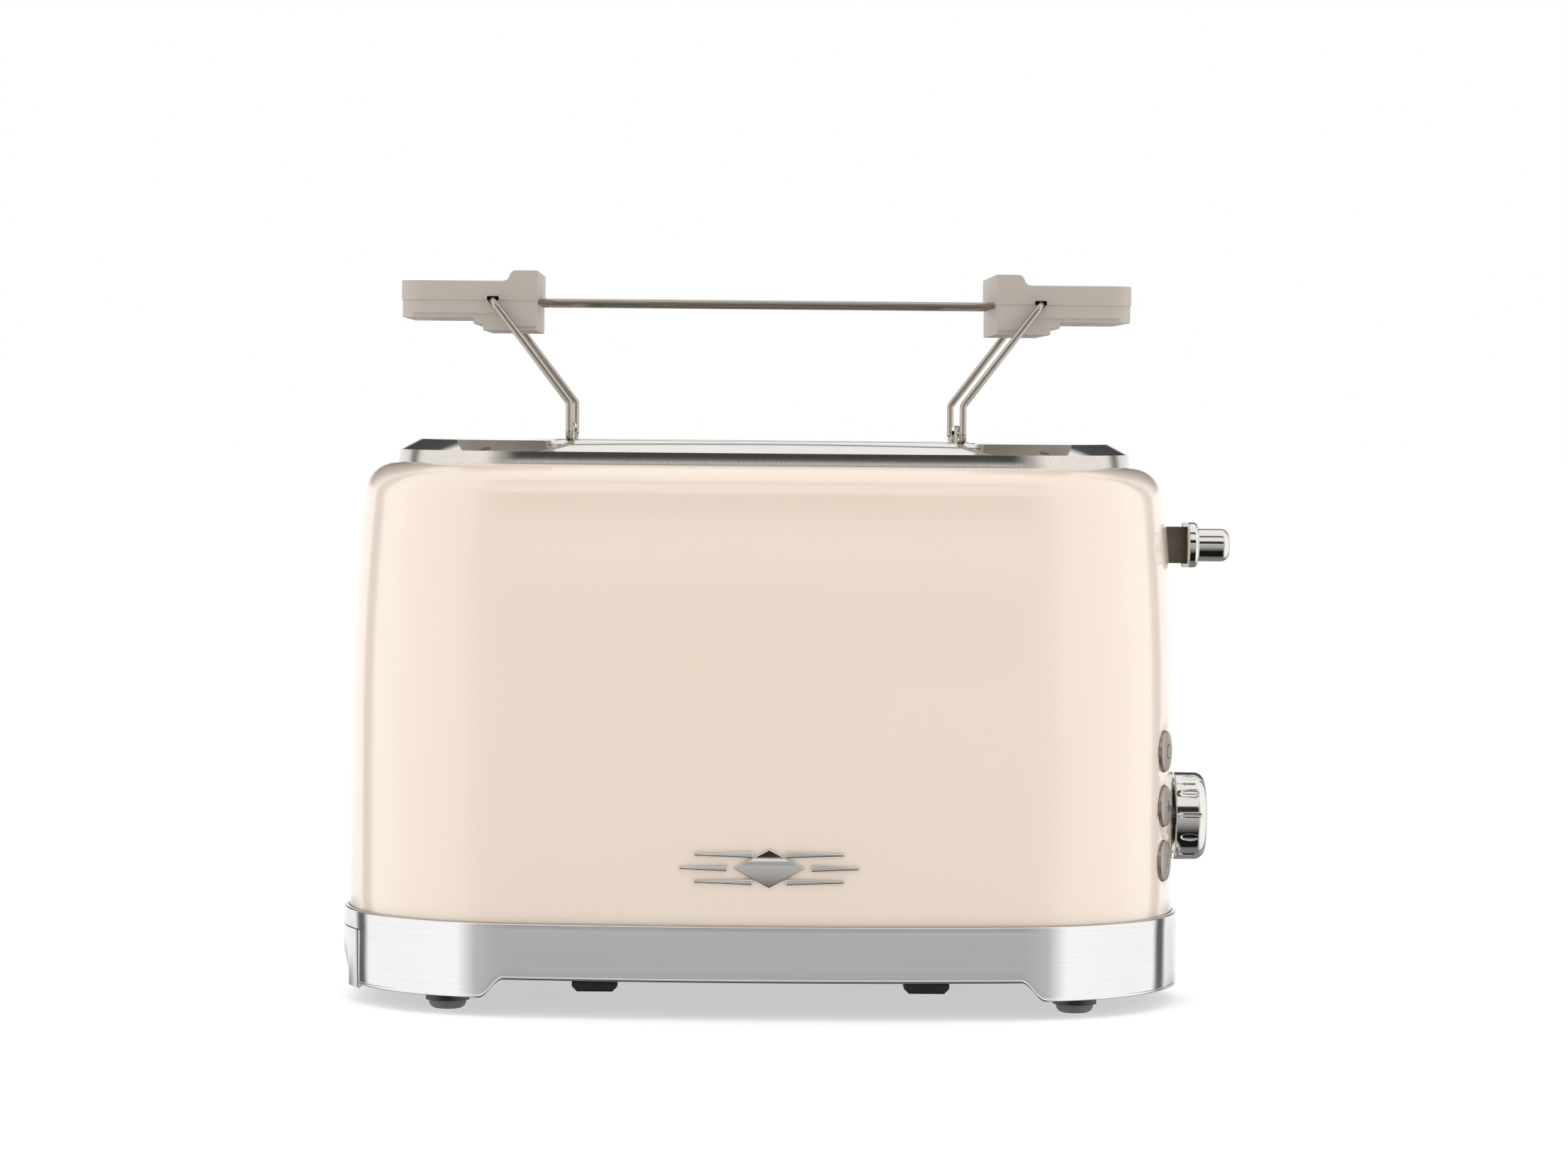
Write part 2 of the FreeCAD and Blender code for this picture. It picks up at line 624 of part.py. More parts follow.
def make_skirt():
    ring = body("base_skirt")
    route = plan(sketch(ring, "floor"), "0")
    out = f"({HALF} + skirt_ledge)"
    seat = "shell_foot - skirt_wall"
    section = outline(
        sketch(ring, "front"),
        [
            (out, "skirt_bottom"), (out, "skirt_top - skirt_edge"),
            (f"{out} - skirt_edge", "skirt_top"), (f"{HALF} + skirt_joint", "skirt_top"),
            (f"{HALF} + skirt_joint", "shell_foot"), (f"{HALF} - seat_width", "shell_foot"),
            (f"{HALF} - seat_width", seat), (f"{out} - skirt_wall", seat),
            (f"{out} - skirt_wall", "skirt_bottom"),
        ],
    )
    sweep(ring, section, route)
    foot, mid = "skirt_bottom", "((skirt_bottom + arch_top) / 2)"
    end, middle = "(arch_half + arch_step)", "(arch_half + arch_step / 2)"
    below = "skirt_bottom - skirt_wall"
    curve = "(((arch_step / 2)^2 + ((arch_top - skirt_bottom) / 2)^2) / (arch_top - skirt_bottom))"
    arch = outline(
        sketch(ring, "front"),
        [
            (f"-{end}", below), (end, below), (end, foot), (middle, mid),
            ("arch_half", "arch_top"), ("-arch_half", "arch_top"), (f"-{middle}", mid), (f"-{end}", foot),
        ],
        {2: (curve, -1), 3: (curve, 1), 5: (curve, 1), 6: (curve, -1)},
    )
    pocket(ring, arch, "2 * body_depth", both=True)
    door = rectangle(
        sketch(ring, "end", f"-{HALF}"),
        "-tray_front_half - running_gap", "0",
        "tray_front_half + running_gap", "tray_front_top + running_gap",
    )
    pocket(ring, door, "2 * shoulder_bow", both=True)
    inlet = circle(sketch(ring, "front", "-body_depth / 2"), "inlet_x", "inlet_z", "inlet_radius")
    pocket(ring, inlet, "2 * shoulder_bow", both=True)


def make_floor():
    tray = body("base_plate")
    sheet_plan = plan(sketch(tray, "floor", "floor_bottom"), "skirt_wall - skirt_ledge + running_gap")
    pad(tray, sheet_plan, "floor_wall")
    top = "(floor_bottom + floor_wall)"
    notch = rectangle(
        sketch(tray, "floor", "floor_bottom"),
        f"-{HALF} - skirt_ledge", "-tray_front_half - running_gap",
        f"-{HALF} + front_depth + running_gap", "tray_front_half + running_gap",
    )
    pocket(tray, notch, "4 * floor_wall", both=True)
    for side in ("-", ""):
        for end in ("-", ""):
            place = f"{end}foot_x", f"{side}foot_y"
            pad(
                tray, circle(sketch(tray, "floor", "boss_bottom"), *place, "boss_radius"),
                "floor_bottom - boss_bottom",
            )
            pocket(
                tray, circle(sketch(tray, "floor", "boss_bottom"), *place, "plug_radius"), "plug_length",
                back=True,
            )
            place = f"{end}post_x", f"{side}post_y"
            post = rectangle(
                sketch(tray, "floor", top), f"{end}post_x - post_half", f"{side}post_y - post_half",
                f"{end}post_x + post_half", f"{side}post_y + post_half",
            )
            pad(tray, post, f"plate_foot - {top}")
            sink = circle(sketch(tray, "floor", "floor_bottom"), *place, "screw_head + running_gap")
            pocket(tray, sink, "screw_sink", back=True)
            pocket(
                tray, circle(sketch(tray, "floor", "floor_bottom"), *place, "screw_radius"), "plate_foot",
                back=True,
            )
        inner, outer = "tray_half + 2 * running_gap", "tray_half + 2 * running_gap + rail_width"
        low, high = (f"-({outer})", f"-({inner})") if side else (inner, outer)
        rail = rectangle(sketch(tray, "floor", top), f"-{HALF} + rail_start", low, "tray_end", high)
        pad(tray, rail, f"tray_floor + tray_height + running_gap - {top}")
    for end in ("-", ""):
        add_cleat(tray, f"{end}cleat_x")
    vent = rectangle(
        sketch(tray, "floor", "floor_bottom"),
        "vent_x - vent_width / 2", "-vent_length / 2", "vent_x + vent_width / 2", "vent_length / 2",
    )
    opening = pocket(tray, vent, "4 * floor_wall", both=True)
    repeat(tray, opening, "X_Axis", "(vent_count - 1) * vent_pitch", "vent_count")


def add_cleat(tray, x):
    """A neck under the floor with a chamfered flange, round which a cord can be wound."""
    neck = rectangle(
        sketch(tray, "floor", "cleat_bottom"), f"{x} - cleat_neck", "-cleat_length / 2 + cleat_neck",
        f"{x} + cleat_neck", "cleat_length / 2 - cleat_neck",
    )
    pad(tray, neck, "floor_bottom - cleat_bottom")
    chamfer = "cleat_flange / 2"
    flange = outline(
        sketch(tray, "front", "-cleat_length / 2"),
        [
            (f"{x} - cleat_width / 2", "cleat_bottom + cleat_flange"),
            (f"{x} - cleat_width / 2", f"cleat_bottom + {chamfer}"),
            (f"{x} - cleat_width / 2 + {chamfer}", "cleat_bottom"),
            (f"{x} + cleat_width / 2 - {chamfer}", "cleat_bottom"),
            (f"{x} + cleat_width / 2", f"cleat_bottom + {chamfer}"),
            (f"{x} + cleat_width / 2", "cleat_bottom + cleat_flange"),
        ],
    )
    pad(tray, flange, "cleat_length")


def make_feet():
    for y_side, y_name in (("-", "front"), ("", "rear")):
        for x_side, x_name in (("-", "left"), ("", "right")):
            foot = body(f"foot_{y_name}_{x_name}")
            dome, stem_top = "(boss_bottom - fit_gap)", "(boss_bottom + plug_length - running_gap * 2)"
            profile = outline(
                sketch(foot, "front"),
                [
                    ("0", "0"), ("foot_pad", "0"), ("foot_radius", f"{dome} / 2"), ("foot_radius", dome),
                    ("plug_radius - fit_gap", dome), ("plug_radius - fit_gap", stem_top), ("0", stem_top),
                ],
            )
            revolve(foot, profile, "Z_Axis")
            put(foot, f"{x_side}foot_x", f"{y_side}foot_y", "0")


def make_inlet():
    bush = body("cord_inlet_bush")
    neck = "inlet_radius - running_gap"
    profile = outline(
        sketch(bush, "front"),
        [
            ("-inlet_neck", "inlet_bore"), ("inlet_lip", "inlet_bore"), ("inlet_lip", "inlet_flange"),
            ("0", "inlet_flange"), ("0", neck), ("-inlet_neck", neck),
        ],
    )
    revolve(bush, profile, "X_Axis")
    tilt = "asin(inlet_x / (front_bow + skirt_ledge))"
    bush.Placement = Placement(Vector(), Rotation(Vector(0, 0, 1), 90 - value(tilt)))
    bind(bush, Placement__Rotation__Angle=f"90 deg - {tilt}")
    reach = f"body_depth / 2 - front_bow + (front_bow + skirt_ledge) * cos({tilt})"
    put(bush, "inlet_x", reach, "inlet_z")


def make_crumb_tray():
    pan = body("crumb_tray")
    start = f"-{HALF} + front_depth"
    pad(pan, rectangle(sketch(pan, "floor", "tray_floor"), start, "-tray_half", "tray_end", "tray_half"),
        "tray_height")
    hollow = rectangle(
        sketch(pan, "floor", "tray_floor + tray_sheet"), f"{start} + tray_sheet", "-tray_half + tray_sheet",
        "tray_end - tray_sheet", "tray_half - tray_sheet",
    )
    pocket(pan, hollow, "tray_height", back=True)

    front = body("tray_front")
    out, y = "(end_bow + skirt_ledge)", "tray_front_half"
    centre = f"({HALF} - end_bow)"
    edge = f"-({centre} + sqrt({out}^2 - {y}^2))"
    back = f"-{HALF} + front_depth"
    crescent = outline(
        sketch(front, "floor", "tray_front_bottom"),
        [(back, y), (edge, y), (edge, f"-{y}"), (back, f"-{y}")],
        {1: (out, 1)},
    )
    pad(front, crescent, "tray_front_top - tray_front_bottom")
    nose = f"-({HALF} + skirt_ledge)"
    lip = "tray_front_bottom + scoop_height"
    scoop = outline(
        sketch(front, "front"),
        [
            (f"{nose} - tray_scoop", "0"), (f"{nose} + tray_scoop", "0"),
            (f"{nose} + tray_scoop", "tray_front_bottom"), (nose, lip), (f"{nose} - tray_scoop", lip),
        ],
        {2: ("scoop_bow", 1)},
    )
    pocket(front, scoop, "3 * tray_front_half", both=True)


# ---- top -----------------------------------------------------------------------


def loft(owner, low, high, cutting=False):
    kind = "PartDesign::SubtractiveLoft" if cutting else "PartDesign::AdditiveLoft"
    item = owner.newObject(kind, owner.Name + "Loft")
    item.Profile = low
    item.Sections = [high]
    item.Ruled = True
    return item


def make_top():
    panel = body("top_panel")
    edge, rim = "shell_top + trim_band", "shell_top + trim_band + trim_rise"
    pad(panel, plan(sketch(panel, "floor", "shell_top"), "trim_inset"), "trim_band")
    loft(panel, plan(sketch(panel, "floor", edge), "trim_inset"),
         plan(sketch(panel, "floor", rim), "trim_inset + trim_slope"))
    inside = "trim_inset + trim_sheet"
    pocket(panel, plan(sketch(panel, "floor", "shell_top"), inside), "trim_band", back=True)
    loft(panel, plan(sketch(panel, "floor", edge), inside),
         plan(
             sketch(panel, "floor", f"{rim} - trim_sheet"),
             f"{inside} + trim_slope * (trim_rise - trim_sheet) / trim_rise",
         ),
         cutting=True)
    for side in (1, -1):
        low, high = sorted((f"{side} * slot_inner", f"{side} * slot_outer"), key=value)
        wall = rounded(
            sketch(panel, "floor", f"{rim} - lip_depth"), "-slot_half - trim_sheet", f"{low} - trim_sheet",
            "slot_half + trim_sheet", f"{high} + trim_sheet", "(slot_corner + trim_sheet)",
        )
        pad(panel, wall, "lip_depth - trim_sheet / 2")
    for side in (1, -1):
        low, high = sorted((f"{side} * slot_inner", f"{side} * slot_outer"), key=value)
        slot = rounded(sketch(panel, "floor", rim), "-slot_half", low, "slot_half", high, "slot_corner")
        pocket(panel, slot, "4 * lip_depth", both=True)


# ---- toasting chamber ------------------------------------------------------------


def make_end_plate(label, side):
    plate = body(label)
    face, through = f"{side} * plate_x", "4 * plate_sheet"
    web = rectangle(sketch(plate, "end", f"{side} * (plate_x + plate_sheet / 2)"),
                    "-plate_half", "plate_foot", "plate_half", "plate_top")
    pad(plate, web, "plate_sheet", both=True)
    low, high = sorted((face, f"{side} * (plate_x - plate_flange)"), key=value)
    flange = rectangle(sketch(plate, "floor", "plate_foot"), low, "-plate_half", high, "plate_half")
    pad(plate, flange, "plate_sheet")
    if side > 0:
        for height in ("plate_foot", "plate_top - plate_sheet"):
            carrier = rectangle(sketch(plate, "floor", height), "plate_x", "-drive_half",
                                "plate_x + drive_flange", "drive_half")
            pad(plate, carrier, "plate_sheet")
    room, half = "(grid_wire + running_gap)", "(tongue_half + running_gap)"
    for row in (1, -1):
        y = f"({row} * rack_y)"
        slot = rectangle(
            sketch(plate, "end", face), f"{y} - {half}", "rack_top - lift_travel - 2 * rack_sheet",
            f"{y} + {half}", "rack_top + rack_sheet",
        )
        pocket(plate, slot, through, both=True)
        moves = ("grid_outer", "grid_outer - grid_travel"), ("grid_inner + grid_travel", "grid_inner")
        for near, far in moves:
            low, high = sorted((f"{row} * ({near})", f"{row} * ({far})"), key=value)
            for z in ("grid_low", "grid_high"):
                guide = rectangle(sketch(plate, "end", face), f"{low} - {room}", f"{z} - {room}",
                                  f"{high} + {room}", f"{z} + {room}")
                pocket(plate, guide, through, both=True)
    for end in ("", "-"):
        seat = circle(
            sketch(plate, "floor", "plate_foot"), f"{side} * post_x", f"{end}post_y", "screw_radius",
        )
        pocket(plate, seat, through, both=True)


def make_reflectors():
    for name, side in (("front", -1), ("rear", 1)):
        panel = body(f"reflector_{name}")
        y, foot = f"{side} * (plate_half - plate_sheet)", "plate_foot + plate_sheet"
        low, high = sorted((y, f"{side} * plate_half"), key=value)
        wall = rectangle(sketch(panel, "floor", foot), "-plate_x", low, "plate_x", high)
        pad(panel, wall, "plate_top - plate_foot - plate_sheet")
        low, high = sorted((y, f"{side} * (plate_half - plate_flange)"), key=value)
        upper = rectangle(
            sketch(panel, "floor", "plate_top - plate_sheet"), "-plate_x", low, "plate_x", high,
        )
        pad(panel, upper, "plate_sheet")
        lower = rectangle(
            sketch(panel, "floor", foot), "plate_flange - plate_x", low, "plate_x - plate_flange", high,
        )
        pad(panel, lower, "plate_sheet")


def make_heaters():
    for name, y in (("front", "-board_y"), ("center", "0"), ("rear", "board_y")):
        board = body(f"mica_board_{name}")
        shape = outline(
            sketch(board, "front", f"-({y})"),
            [
                ("-plate_x", "board_low"), ("plate_x", "board_low"), ("plate_x", "board_low + board_tab"),
                ("board_half", "board_low + board_tab"), ("board_half", "board_high - board_tab"),
                ("plate_x", "board_high - board_tab"), ("plate_x", "board_high"),
                ("-plate_x", "board_high"),
                ("-plate_x", "board_high - board_tab"), ("-board_half", "board_high - board_tab"),
                ("-board_half", "board_low + board_tab"), ("-plate_x", "board_low + board_tab"),
            ],
        )
        pad(board, shape, "board_sheet", both=True)
        turns = []
        for n in range(int(value("ribbon_turns"))):
            z = f"ribbon_low + {n} * ribbon_pitch"
            ring = []
            for part, extra in (("loop", "ribbon_sheet"), ("core", "0")):
                x, half = f"board_half + {extra}", f"board_sheet / 2 + {extra}"
                ring.append(block(f"ribbon_{name}_{part}_{n}", (f"-({x})", f"{y} - ({half})", z),
                                  (x, f"{y} + {half}", f"{z} + ribbon_height")))
            turns.append(cut(f"ribbon_{name}_{n}", ring[0], ring[1:]))
        keep(f"heating_ribbon_{name}", group(f"heating_ribbon_{name}", turns))


def make_grids():
    """Guard grids: two rails that slide in the end plates' guides, with upright wires between them."""
    for row_name, row in (("front", -1), ("rear", 1)):
        for name, place in (("outer", "grid_outer"), ("inner", "grid_inner")):
            y = f"{row} * {place}"
            wires = [
                bar(f"{row_name}_{name}_{z}", ("-grid_reach", y, z), "grid_wire", "2 * grid_reach", "x")
                for z in ("grid_low", "grid_high")
            ]
            count = int(value("grid_uprights"))
            for n in range(count):
                x = f"({n} - ({count} - 1) / 2) * grid_pitch"
                wires.append(bar(f"{row_name}_{name}_upright_{n}", (x, y, "grid_low"), "upright_wire",
                                 "grid_high - grid_low"))
            label = f"guard_grid_{row_name}_{name}"
            keep(label, fuse(label, wires))


# ---- bread lift --------------------------------------------------------------------


def make_racks():
    for name, side in (("front", -1), ("rear", 1)):
        rack = body(f"bread_rack_{name}")
        y, base, root = f"{side} * rack_y", "rack_top - rack_sheet", "rack_top - rack_sheet / 2"
        strip = rectangle(sketch(rack, "floor", base), "-rack_reach", f"{y} - rack_half",
                          "rack_reach", f"{y} + rack_half")
        pad(rack, strip, "rack_sheet")
        tongue = rectangle(
            sketch(rack, "floor", base), "-plate_x - plate_sheet - tongue_half", f"{y} - tongue_half",
            "bracket_x", f"{y} + tongue_half",
        )
        pad(rack, tongue, "rack_sheet")
        first = "-tooth_count * tooth_pitch / 2"
        tooth = outline(
            sketch(rack, "front", f"-({y})"),
            [
                (first, root), (f"{first} + tooth_pitch", root),
                (f"{first} + tooth_pitch / 2", "rack_top + rack_tooth"),
            ],
        )
        first_tooth = pad(rack, tooth, "rack_sheet", both=True)
        repeat(rack, first_tooth, "X_Axis", "(tooth_count - 1) * tooth_pitch", "tooth_count")
        for edge in (-1, 1):
            middle = f"{y} + {edge} * (rack_half + rack_sheet / 2) / 2"
            window = rectangle(
                sketch(rack, "floor", base), "-rack_reach + window_edge", f"{middle} - window_half",
                "window_edge + window_length - rack_reach", f"{middle} + window_half",
            )
            opening = pocket(rack, window, "4 * rack_sheet", both=True)
            repeat(
                rack, opening, "X_Axis", "2 * (rack_reach - window_edge) - window_length", "window_count",
            )


def make_bracket():
    bracket = body("lift_bracket")
    low = "(rack_top - rack_sheet - bracket_drop)"
    wing, head = "(rack_y + 2 * tongue_half)", "(lever_z + lever_height / 2)"
    cross = outline(
        sketch(bracket, "end", "bracket_x"),
        [
            (f"-{wing}", low), (wing, low), (wing, "rack_top + bracket_edge"),
            ("riser_half", "rack_top + bracket_neck"), ("riser_half", head), ("-riser_half", head),
            ("-riser_half", "rack_top + bracket_neck"), (f"-{wing}", "rack_top + bracket_edge"),
        ],
    )
    pad(bracket, cross, "bracket_sheet")
    out = "bracket_x + bracket_sheet"
    foot = rectangle(sketch(bracket, "floor", low), out, "-magnet_y - keeper_half - bracket_edge",
                     "magnet_x + keeper_half", "keeper_half + bracket_edge - magnet_y")
    pad(bracket, foot, "bracket_sheet")
    hook = rectangle(
        sketch(bracket, "floor", "spring_low - bracket_sheet"), out, "-spring_y - spring_radius",
        "guide_x + spring_radius", "spring_radius - spring_y",
    )
    pad(bracket, hook, "bracket_sheet")

    keep("latch_keeper", block(
        "latch_keeper",
        ("magnet_x - keeper_half", "-magnet_y - keeper_half", f"{low} - keeper_sheet"),
        ("magnet_x + keeper_half", "keeper_half - magnet_y", low),
    ))

    slider = body("slide_bush")
    shape = rectangle(sketch(slider, "floor", low), out, "guide_y - bush_radius",
                      "guide_x + bush_radius", "guide_y + bush_radius")
    pad(slider, shape, "bush_length")
    bore = circle(sketch(slider, "floor", low), "guide_x", "guide_y", "guide_radius + fit_gap")
    pocket(slider, bore, "4 * bush_length", both=True)

    keep("guide_rod", rod("guide_rod", ("guide_x", "guide_y", "plate_foot + plate_sheet"), "guide_radius",
                          "plate_top - plate_foot - 2 * plate_sheet"))


def make_spring():
    """The return spring between the bracket's hook and the end plate's upper flange."""
    low, high = value("spring_low"), value("plate_top - plate_sheet")
    wire, radius = value("spring_wire"), value("spring_radius")
    sides, turns = int(value("spring_sides")), int(value("spring_turns"))
    rings = []
    for n in range(sides * turns + 1):
        turn = 2 * math.pi * n / sides
        height = low + wire + (high - low - 2 * wire) * n / (sides * turns)
        corners = []
        for out, up in ((-1, -1), (1, -1), (1, 1), (-1, 1)):
            reach = radius + out * wire
            corners.append(Vector(reach * math.cos(turn), reach * math.sin(turn), height + up * wire))
        rings.append(corners)
    faces = [facet(rings[0]), facet(rings[-1])]
    for below, above in zip(rings, rings[1:]):
        for n in range(len(below)):
            faces.append(facet((below[n - 1], below[n], above[n])))
            faces.append(facet((below[n - 1], above[n], above[n - 1])))
    item = doc.addObject("Part::Feature", "return_spring")
    item.Shape = Part.makeSolid(Part.makeShell(faces))
    item.Placement = Placement(Vector(value("guide_x"), -value("spring_y"), 0), Rotation())
    keep("return_spring", item)


def facet(corners):
    return Part.Face(Part.makePolygon([*corners, corners[0]]))


def make_lever():
    arm = body("lever_arm")
    low, high = "lever_z - lever_height / 2", "lever_z + lever_height / 2"
    root = "bracket_x + bracket_sheet"
    plate = outline(
        sketch(arm, "front", "-lever_sheet / 2"),
        [
            (root, f"{low} - arm_root"), (f"{root} + arm_root", f"{low} - arm_root"),
            (f"{root} + 3 * arm_root", low), ("lever_end", low), ("lever_end", high), (root, high),
        ],
    )
    pad(arm, plate, "lever_sheet")

    core = body("lever_core")
    pad(
        core, circle(sketch(core, "end", "core_x"), "0", "lever_z", "collar_radius - fit_gap"),
        "core_length",
    )
    throat = rectangle(sketch(core, "end", "core_x"), "-2 * collar_radius", f"{low} - fit_gap",
                       "2 * collar_radius", f"{high} + fit_gap")
    pocket(core, throat, "core_length - core_web", back=True)
    tenon = rectangle(sketch(core, "end", "core_x"), "-lever_sheet / 2 - fit_gap", f"{low} - fit_gap",
                      "lever_sheet / 2 + fit_gap", f"{high} + fit_gap")
    pocket(core, tenon, "core_length", back=True)

    knob = body("lever_knob")
    start = "(core_x + core_length)"
    collar_end = f"({start} + collar_length)"
    end = f"({collar_end} + barrel_length)"
    profile = outline(
        sketch(knob, "front"),
        [
            (start, "0"), (start, "collar_radius"),
            *rounded_edge(collar_end, "collar_radius", "collar_round"),
            (collar_end, "barrel_radius"), *rounded_edge(end, "barrel_radius", "barrel_round"), (end, "0"),
        ],
    )
    revolve(knob, profile, "X_Axis")
    put(knob, "0", "0", "lever_z")
    socket = rectangle(
        sketch(knob, "end", start), "-lever_sheet / 2 - fit_gap", "-lever_height / 2 - fit_gap",
        "lever_sheet / 2 + fit_gap", "lever_height / 2 + fit_gap",
    )
    pocket(knob, socket, f"lever_end + fit_gap - {start}", back=True)


def rounded_edge(end, radius, bow):
    """The outer edge of a turned piece, its rounding drawn as two chamfers through the arc's middle."""
    middle = f"{bow} * (1 - cos(45))"
    return [
        (f"{end} - {bow}", radius), (f"{end} - {middle}", f"{radius} - {middle}"),
        (end, f"{radius} - {bow}")
    ]


def make_magnet():
    low = "(plate_foot + plate_sheet)"
    coil = body("magnet_coil")
    profile = rectangle(sketch(coil, "front"), "core_radius", "0", "coil_radius", "coil_height")
    revolve(coil, profile, "Z_Axis")
    put(coil, "magnet_x", "-magnet_y", low)
    top = "rack_top - rack_sheet - bracket_drop - keeper_sheet - lift_travel - running_gap"
    keep("magnet_core", rod("magnet_core", ("magnet_x", "-magnet_y", low), "core_radius", f"{top} - {low}"))


# ---- controls ------------------------------------------------------------------------


def make_dial():
    knob = body("dial_knob")
    inner = "(dial_radius - dial_wall)"
    ceiling = "(dial_front - dial_cap)"
    profile = outline(
        sketch(knob, "front"),
        [
            ("dial_back", inner), ("dial_back", "dial_radius"),
            *rounded_edge("dial_front", "dial_radius", "dial_round"), ("dial_front", "0"),
            ("dial_back + hub_set", "0"), ("dial_back + hub_set", "hub_radius"), (ceiling, "hub_radius"),
            (ceiling, inner),
        ],
    )
    revolve(knob, profile, "X_Axis")
    bore = circle(sketch(knob, "end", "dial_back"), "0", "0", "shaft_radius + fit_gap")
    pocket(knob, bore, f"{ceiling} + dial_cap / 2 - dial_back", back=True)
    flute = rectangle(sketch(knob, "floor", "dial_radius - flute_depth"), "dial_back + flute_start",
                      "-flute_width / 2", "dial_back + flute_start + flute_length", "flute_width / 2")
    hollow = pocket(knob, flute, "2 * flute_depth", back=True)
    ring = knob.newObject("PartDesign::PolarPattern", "Flutes")
    ring.Originals = [hollow]
    ring.Axis = (next(f for f in knob.Origin.OriginFeatures if f.Role == "X_Axis"), [""])
    ring.Angle = 360
    bind(ring, Occurrences="flute_count")
    knob.Tip = ring
    pointer = rectangle(sketch(knob, "front", "dial_radius - pointer_depth"), "dial_back + flute_start",
                        "-pointer_width / 2", "dial_front + pointer_width", "pointer_width / 2")
    pocket(knob, pointer, "2 * dial_round", back=True)
    put(knob, "0", "0", "dial_z")

    inside = "(control_x + board_thick)"
    keep("dial_shaft", rod("dial_shaft", (f"{inside} + running_gap", "0", "dial_z"), "shaft_radius",
                           f"{ceiling} + dial_cap / 2 - 2 * running_gap - {inside}", "x"))

    pot = body("potentiometer")
    can = rectangle(sketch(pot, "end", inside), "-pot_half", "-pot_half", "pot_half", "pot_half")
    pad(pot, can, "pot_depth")
    pad(pot, circle(sketch(pot, "end", inside), "0", "0", "pot_neck"), "2 * pot_depth")
    pocket(
        pot, circle(sketch(pot, "end", inside), "0", "0", "shaft_radius + fit_gap"), "4 * pot_depth",
        both=True,
    )
    put(pot, "0", "0", "dial_z")


def make_boards():
    low = "(floor_bottom + floor_wall)"
    keep("control_board", block("control_board", ("control_x", "-control_half", low),
                                ("control_x + board_thick", "control_half", "control_top")))

    back = "(switch_plane - end_bow)"
    top = "(2 * button_pitch + guide_half)"
    board = body("button_board")
    pad(board, rectangle(sketch(board, "end", back), "-guide_half", f"{low} - button_z", "guide_half", top),
        "board_thick")
    face_round(board)

    guide = body("button_guide")
    face = f"({back} + board_thick)"
    front = "(button_proud - button_skirt - button_travel - 2 * running_gap)"
    bridge = f"({front} - guide_depth)"
    pad(
        guide, rectangle(sketch(guide, "end", bridge), "-guide_half", "-guide_half", "guide_half", top),
        "guide_wall",
    )
    for side in (1, -1):
        a, b = sorted((f"{side} * guide_half", f"{side} * (guide_half - guide_wall)"), key=value)
        pad(guide, rectangle(sketch(guide, "end", face), a, "-guide_half", b, top), f"{bridge} - {face}")
    for n in range(3):
        z = f"{n} * button_pitch"
        tube = rectangle(sketch(guide, "end", bridge), "-2 * stem_radius", f"{z} - 2 * stem_radius",
                         "2 * stem_radius", f"{z} + 2 * stem_radius")
        pad(guide, tube, f"{front} - {bridge}")
        pocket(
            guide, circle(sketch(guide, "end", bridge), "0", z, "stem_radius + fit_gap"), "4 * guide_depth",
            both=True,
        )
    face_round(guide)

    switches = []
    for n in range(3):
        switch = body(f"switch_{n}", whole=False)
        z = f"{n} * button_pitch"
        for half, height in (("switch_half", "switch_height / 2"), ("stem_radius / 2", "switch_height")):
            pad(
                switch,
                rectangle(sketch(switch, "end", face), f"-{half}", f"{z} - {half}", half, f"{z} + {half}"),
                height,
            )
        switches.append(face_round(switch))
    keep("button_switches", group("button_switches", switches))


def make_buttons():
    for n, name in enumerate(("bottom", "middle", "top")):
        cap = body(f"button_{name}")
        stem = "(switch_plane + board_thick + switch_height + button_travel + running_gap / 2 - end_bow)"
        back, inside = "button_proud - button_skirt", "button_proud - button_wall"
        hollow = "button_radius - button_wall"
        profile = outline(
            sketch(cap, "front"),
            [
                (stem, "0"), (stem, "stem_radius"), (inside, "stem_radius"), (inside, hollow),
                (back, hollow), (back, "button_radius"), ("button_proud - button_edge", "button_radius"),
                ("button_proud", "button_radius - button_edge"), ("button_proud", "0"),
            ],
        )
        revolve(cap, profile, "X_Axis")
        face_round(cap)
        bind(cap, Placement__Base__z=f"button_z + {n} * button_pitch")


# ---- bun warmer ------------------------------------------------------------------


GRIP_TOP, GRIP_BOTTOM = "(grip_split + grip_over)", "(grip_split - grip_under)"
BLOCK_TOP, BLOCK_BOTTOM = "(grip_split + block_over)", "(grip_split - block_under)"


def make_grips():
    """Two grips, each an upper and a lower moulding closed round the rods and the legs' ends."""
    for name, turn in (("right", 0), ("left", 180)):
        for half, low, high in (("upper", "grip_split", BLOCK_TOP), ("lower", BLOCK_BOTTOM, "grip_split")):
            grip = body(f"warmer_grip_{name}_{half}")
            shape = outline(
                sketch(grip, "floor", low),
                [
                    ("grip_inner", "-grip_half"), ("grip_outer - grip_corner", "-grip_half"),
                    ("grip_outer", "grip_corner - grip_half"), ("grip_outer", "grip_half - grip_corner"),
                    ("grip_outer - grip_corner", "grip_half"), ("grip_inner", "grip_half"),
                ],
                {1: ("grip_corner", 1), 3: ("grip_corner", 1)},
            )
            pad(grip, shape, f"{high} - {low}")
            if half == "upper":
                shape_upper(grip)
            else:
                shape_lower(grip)
            bore_grip(grip)
            grip.Placement = Placement(Vector(), Rotation(Vector(0, 0, 1), turn))


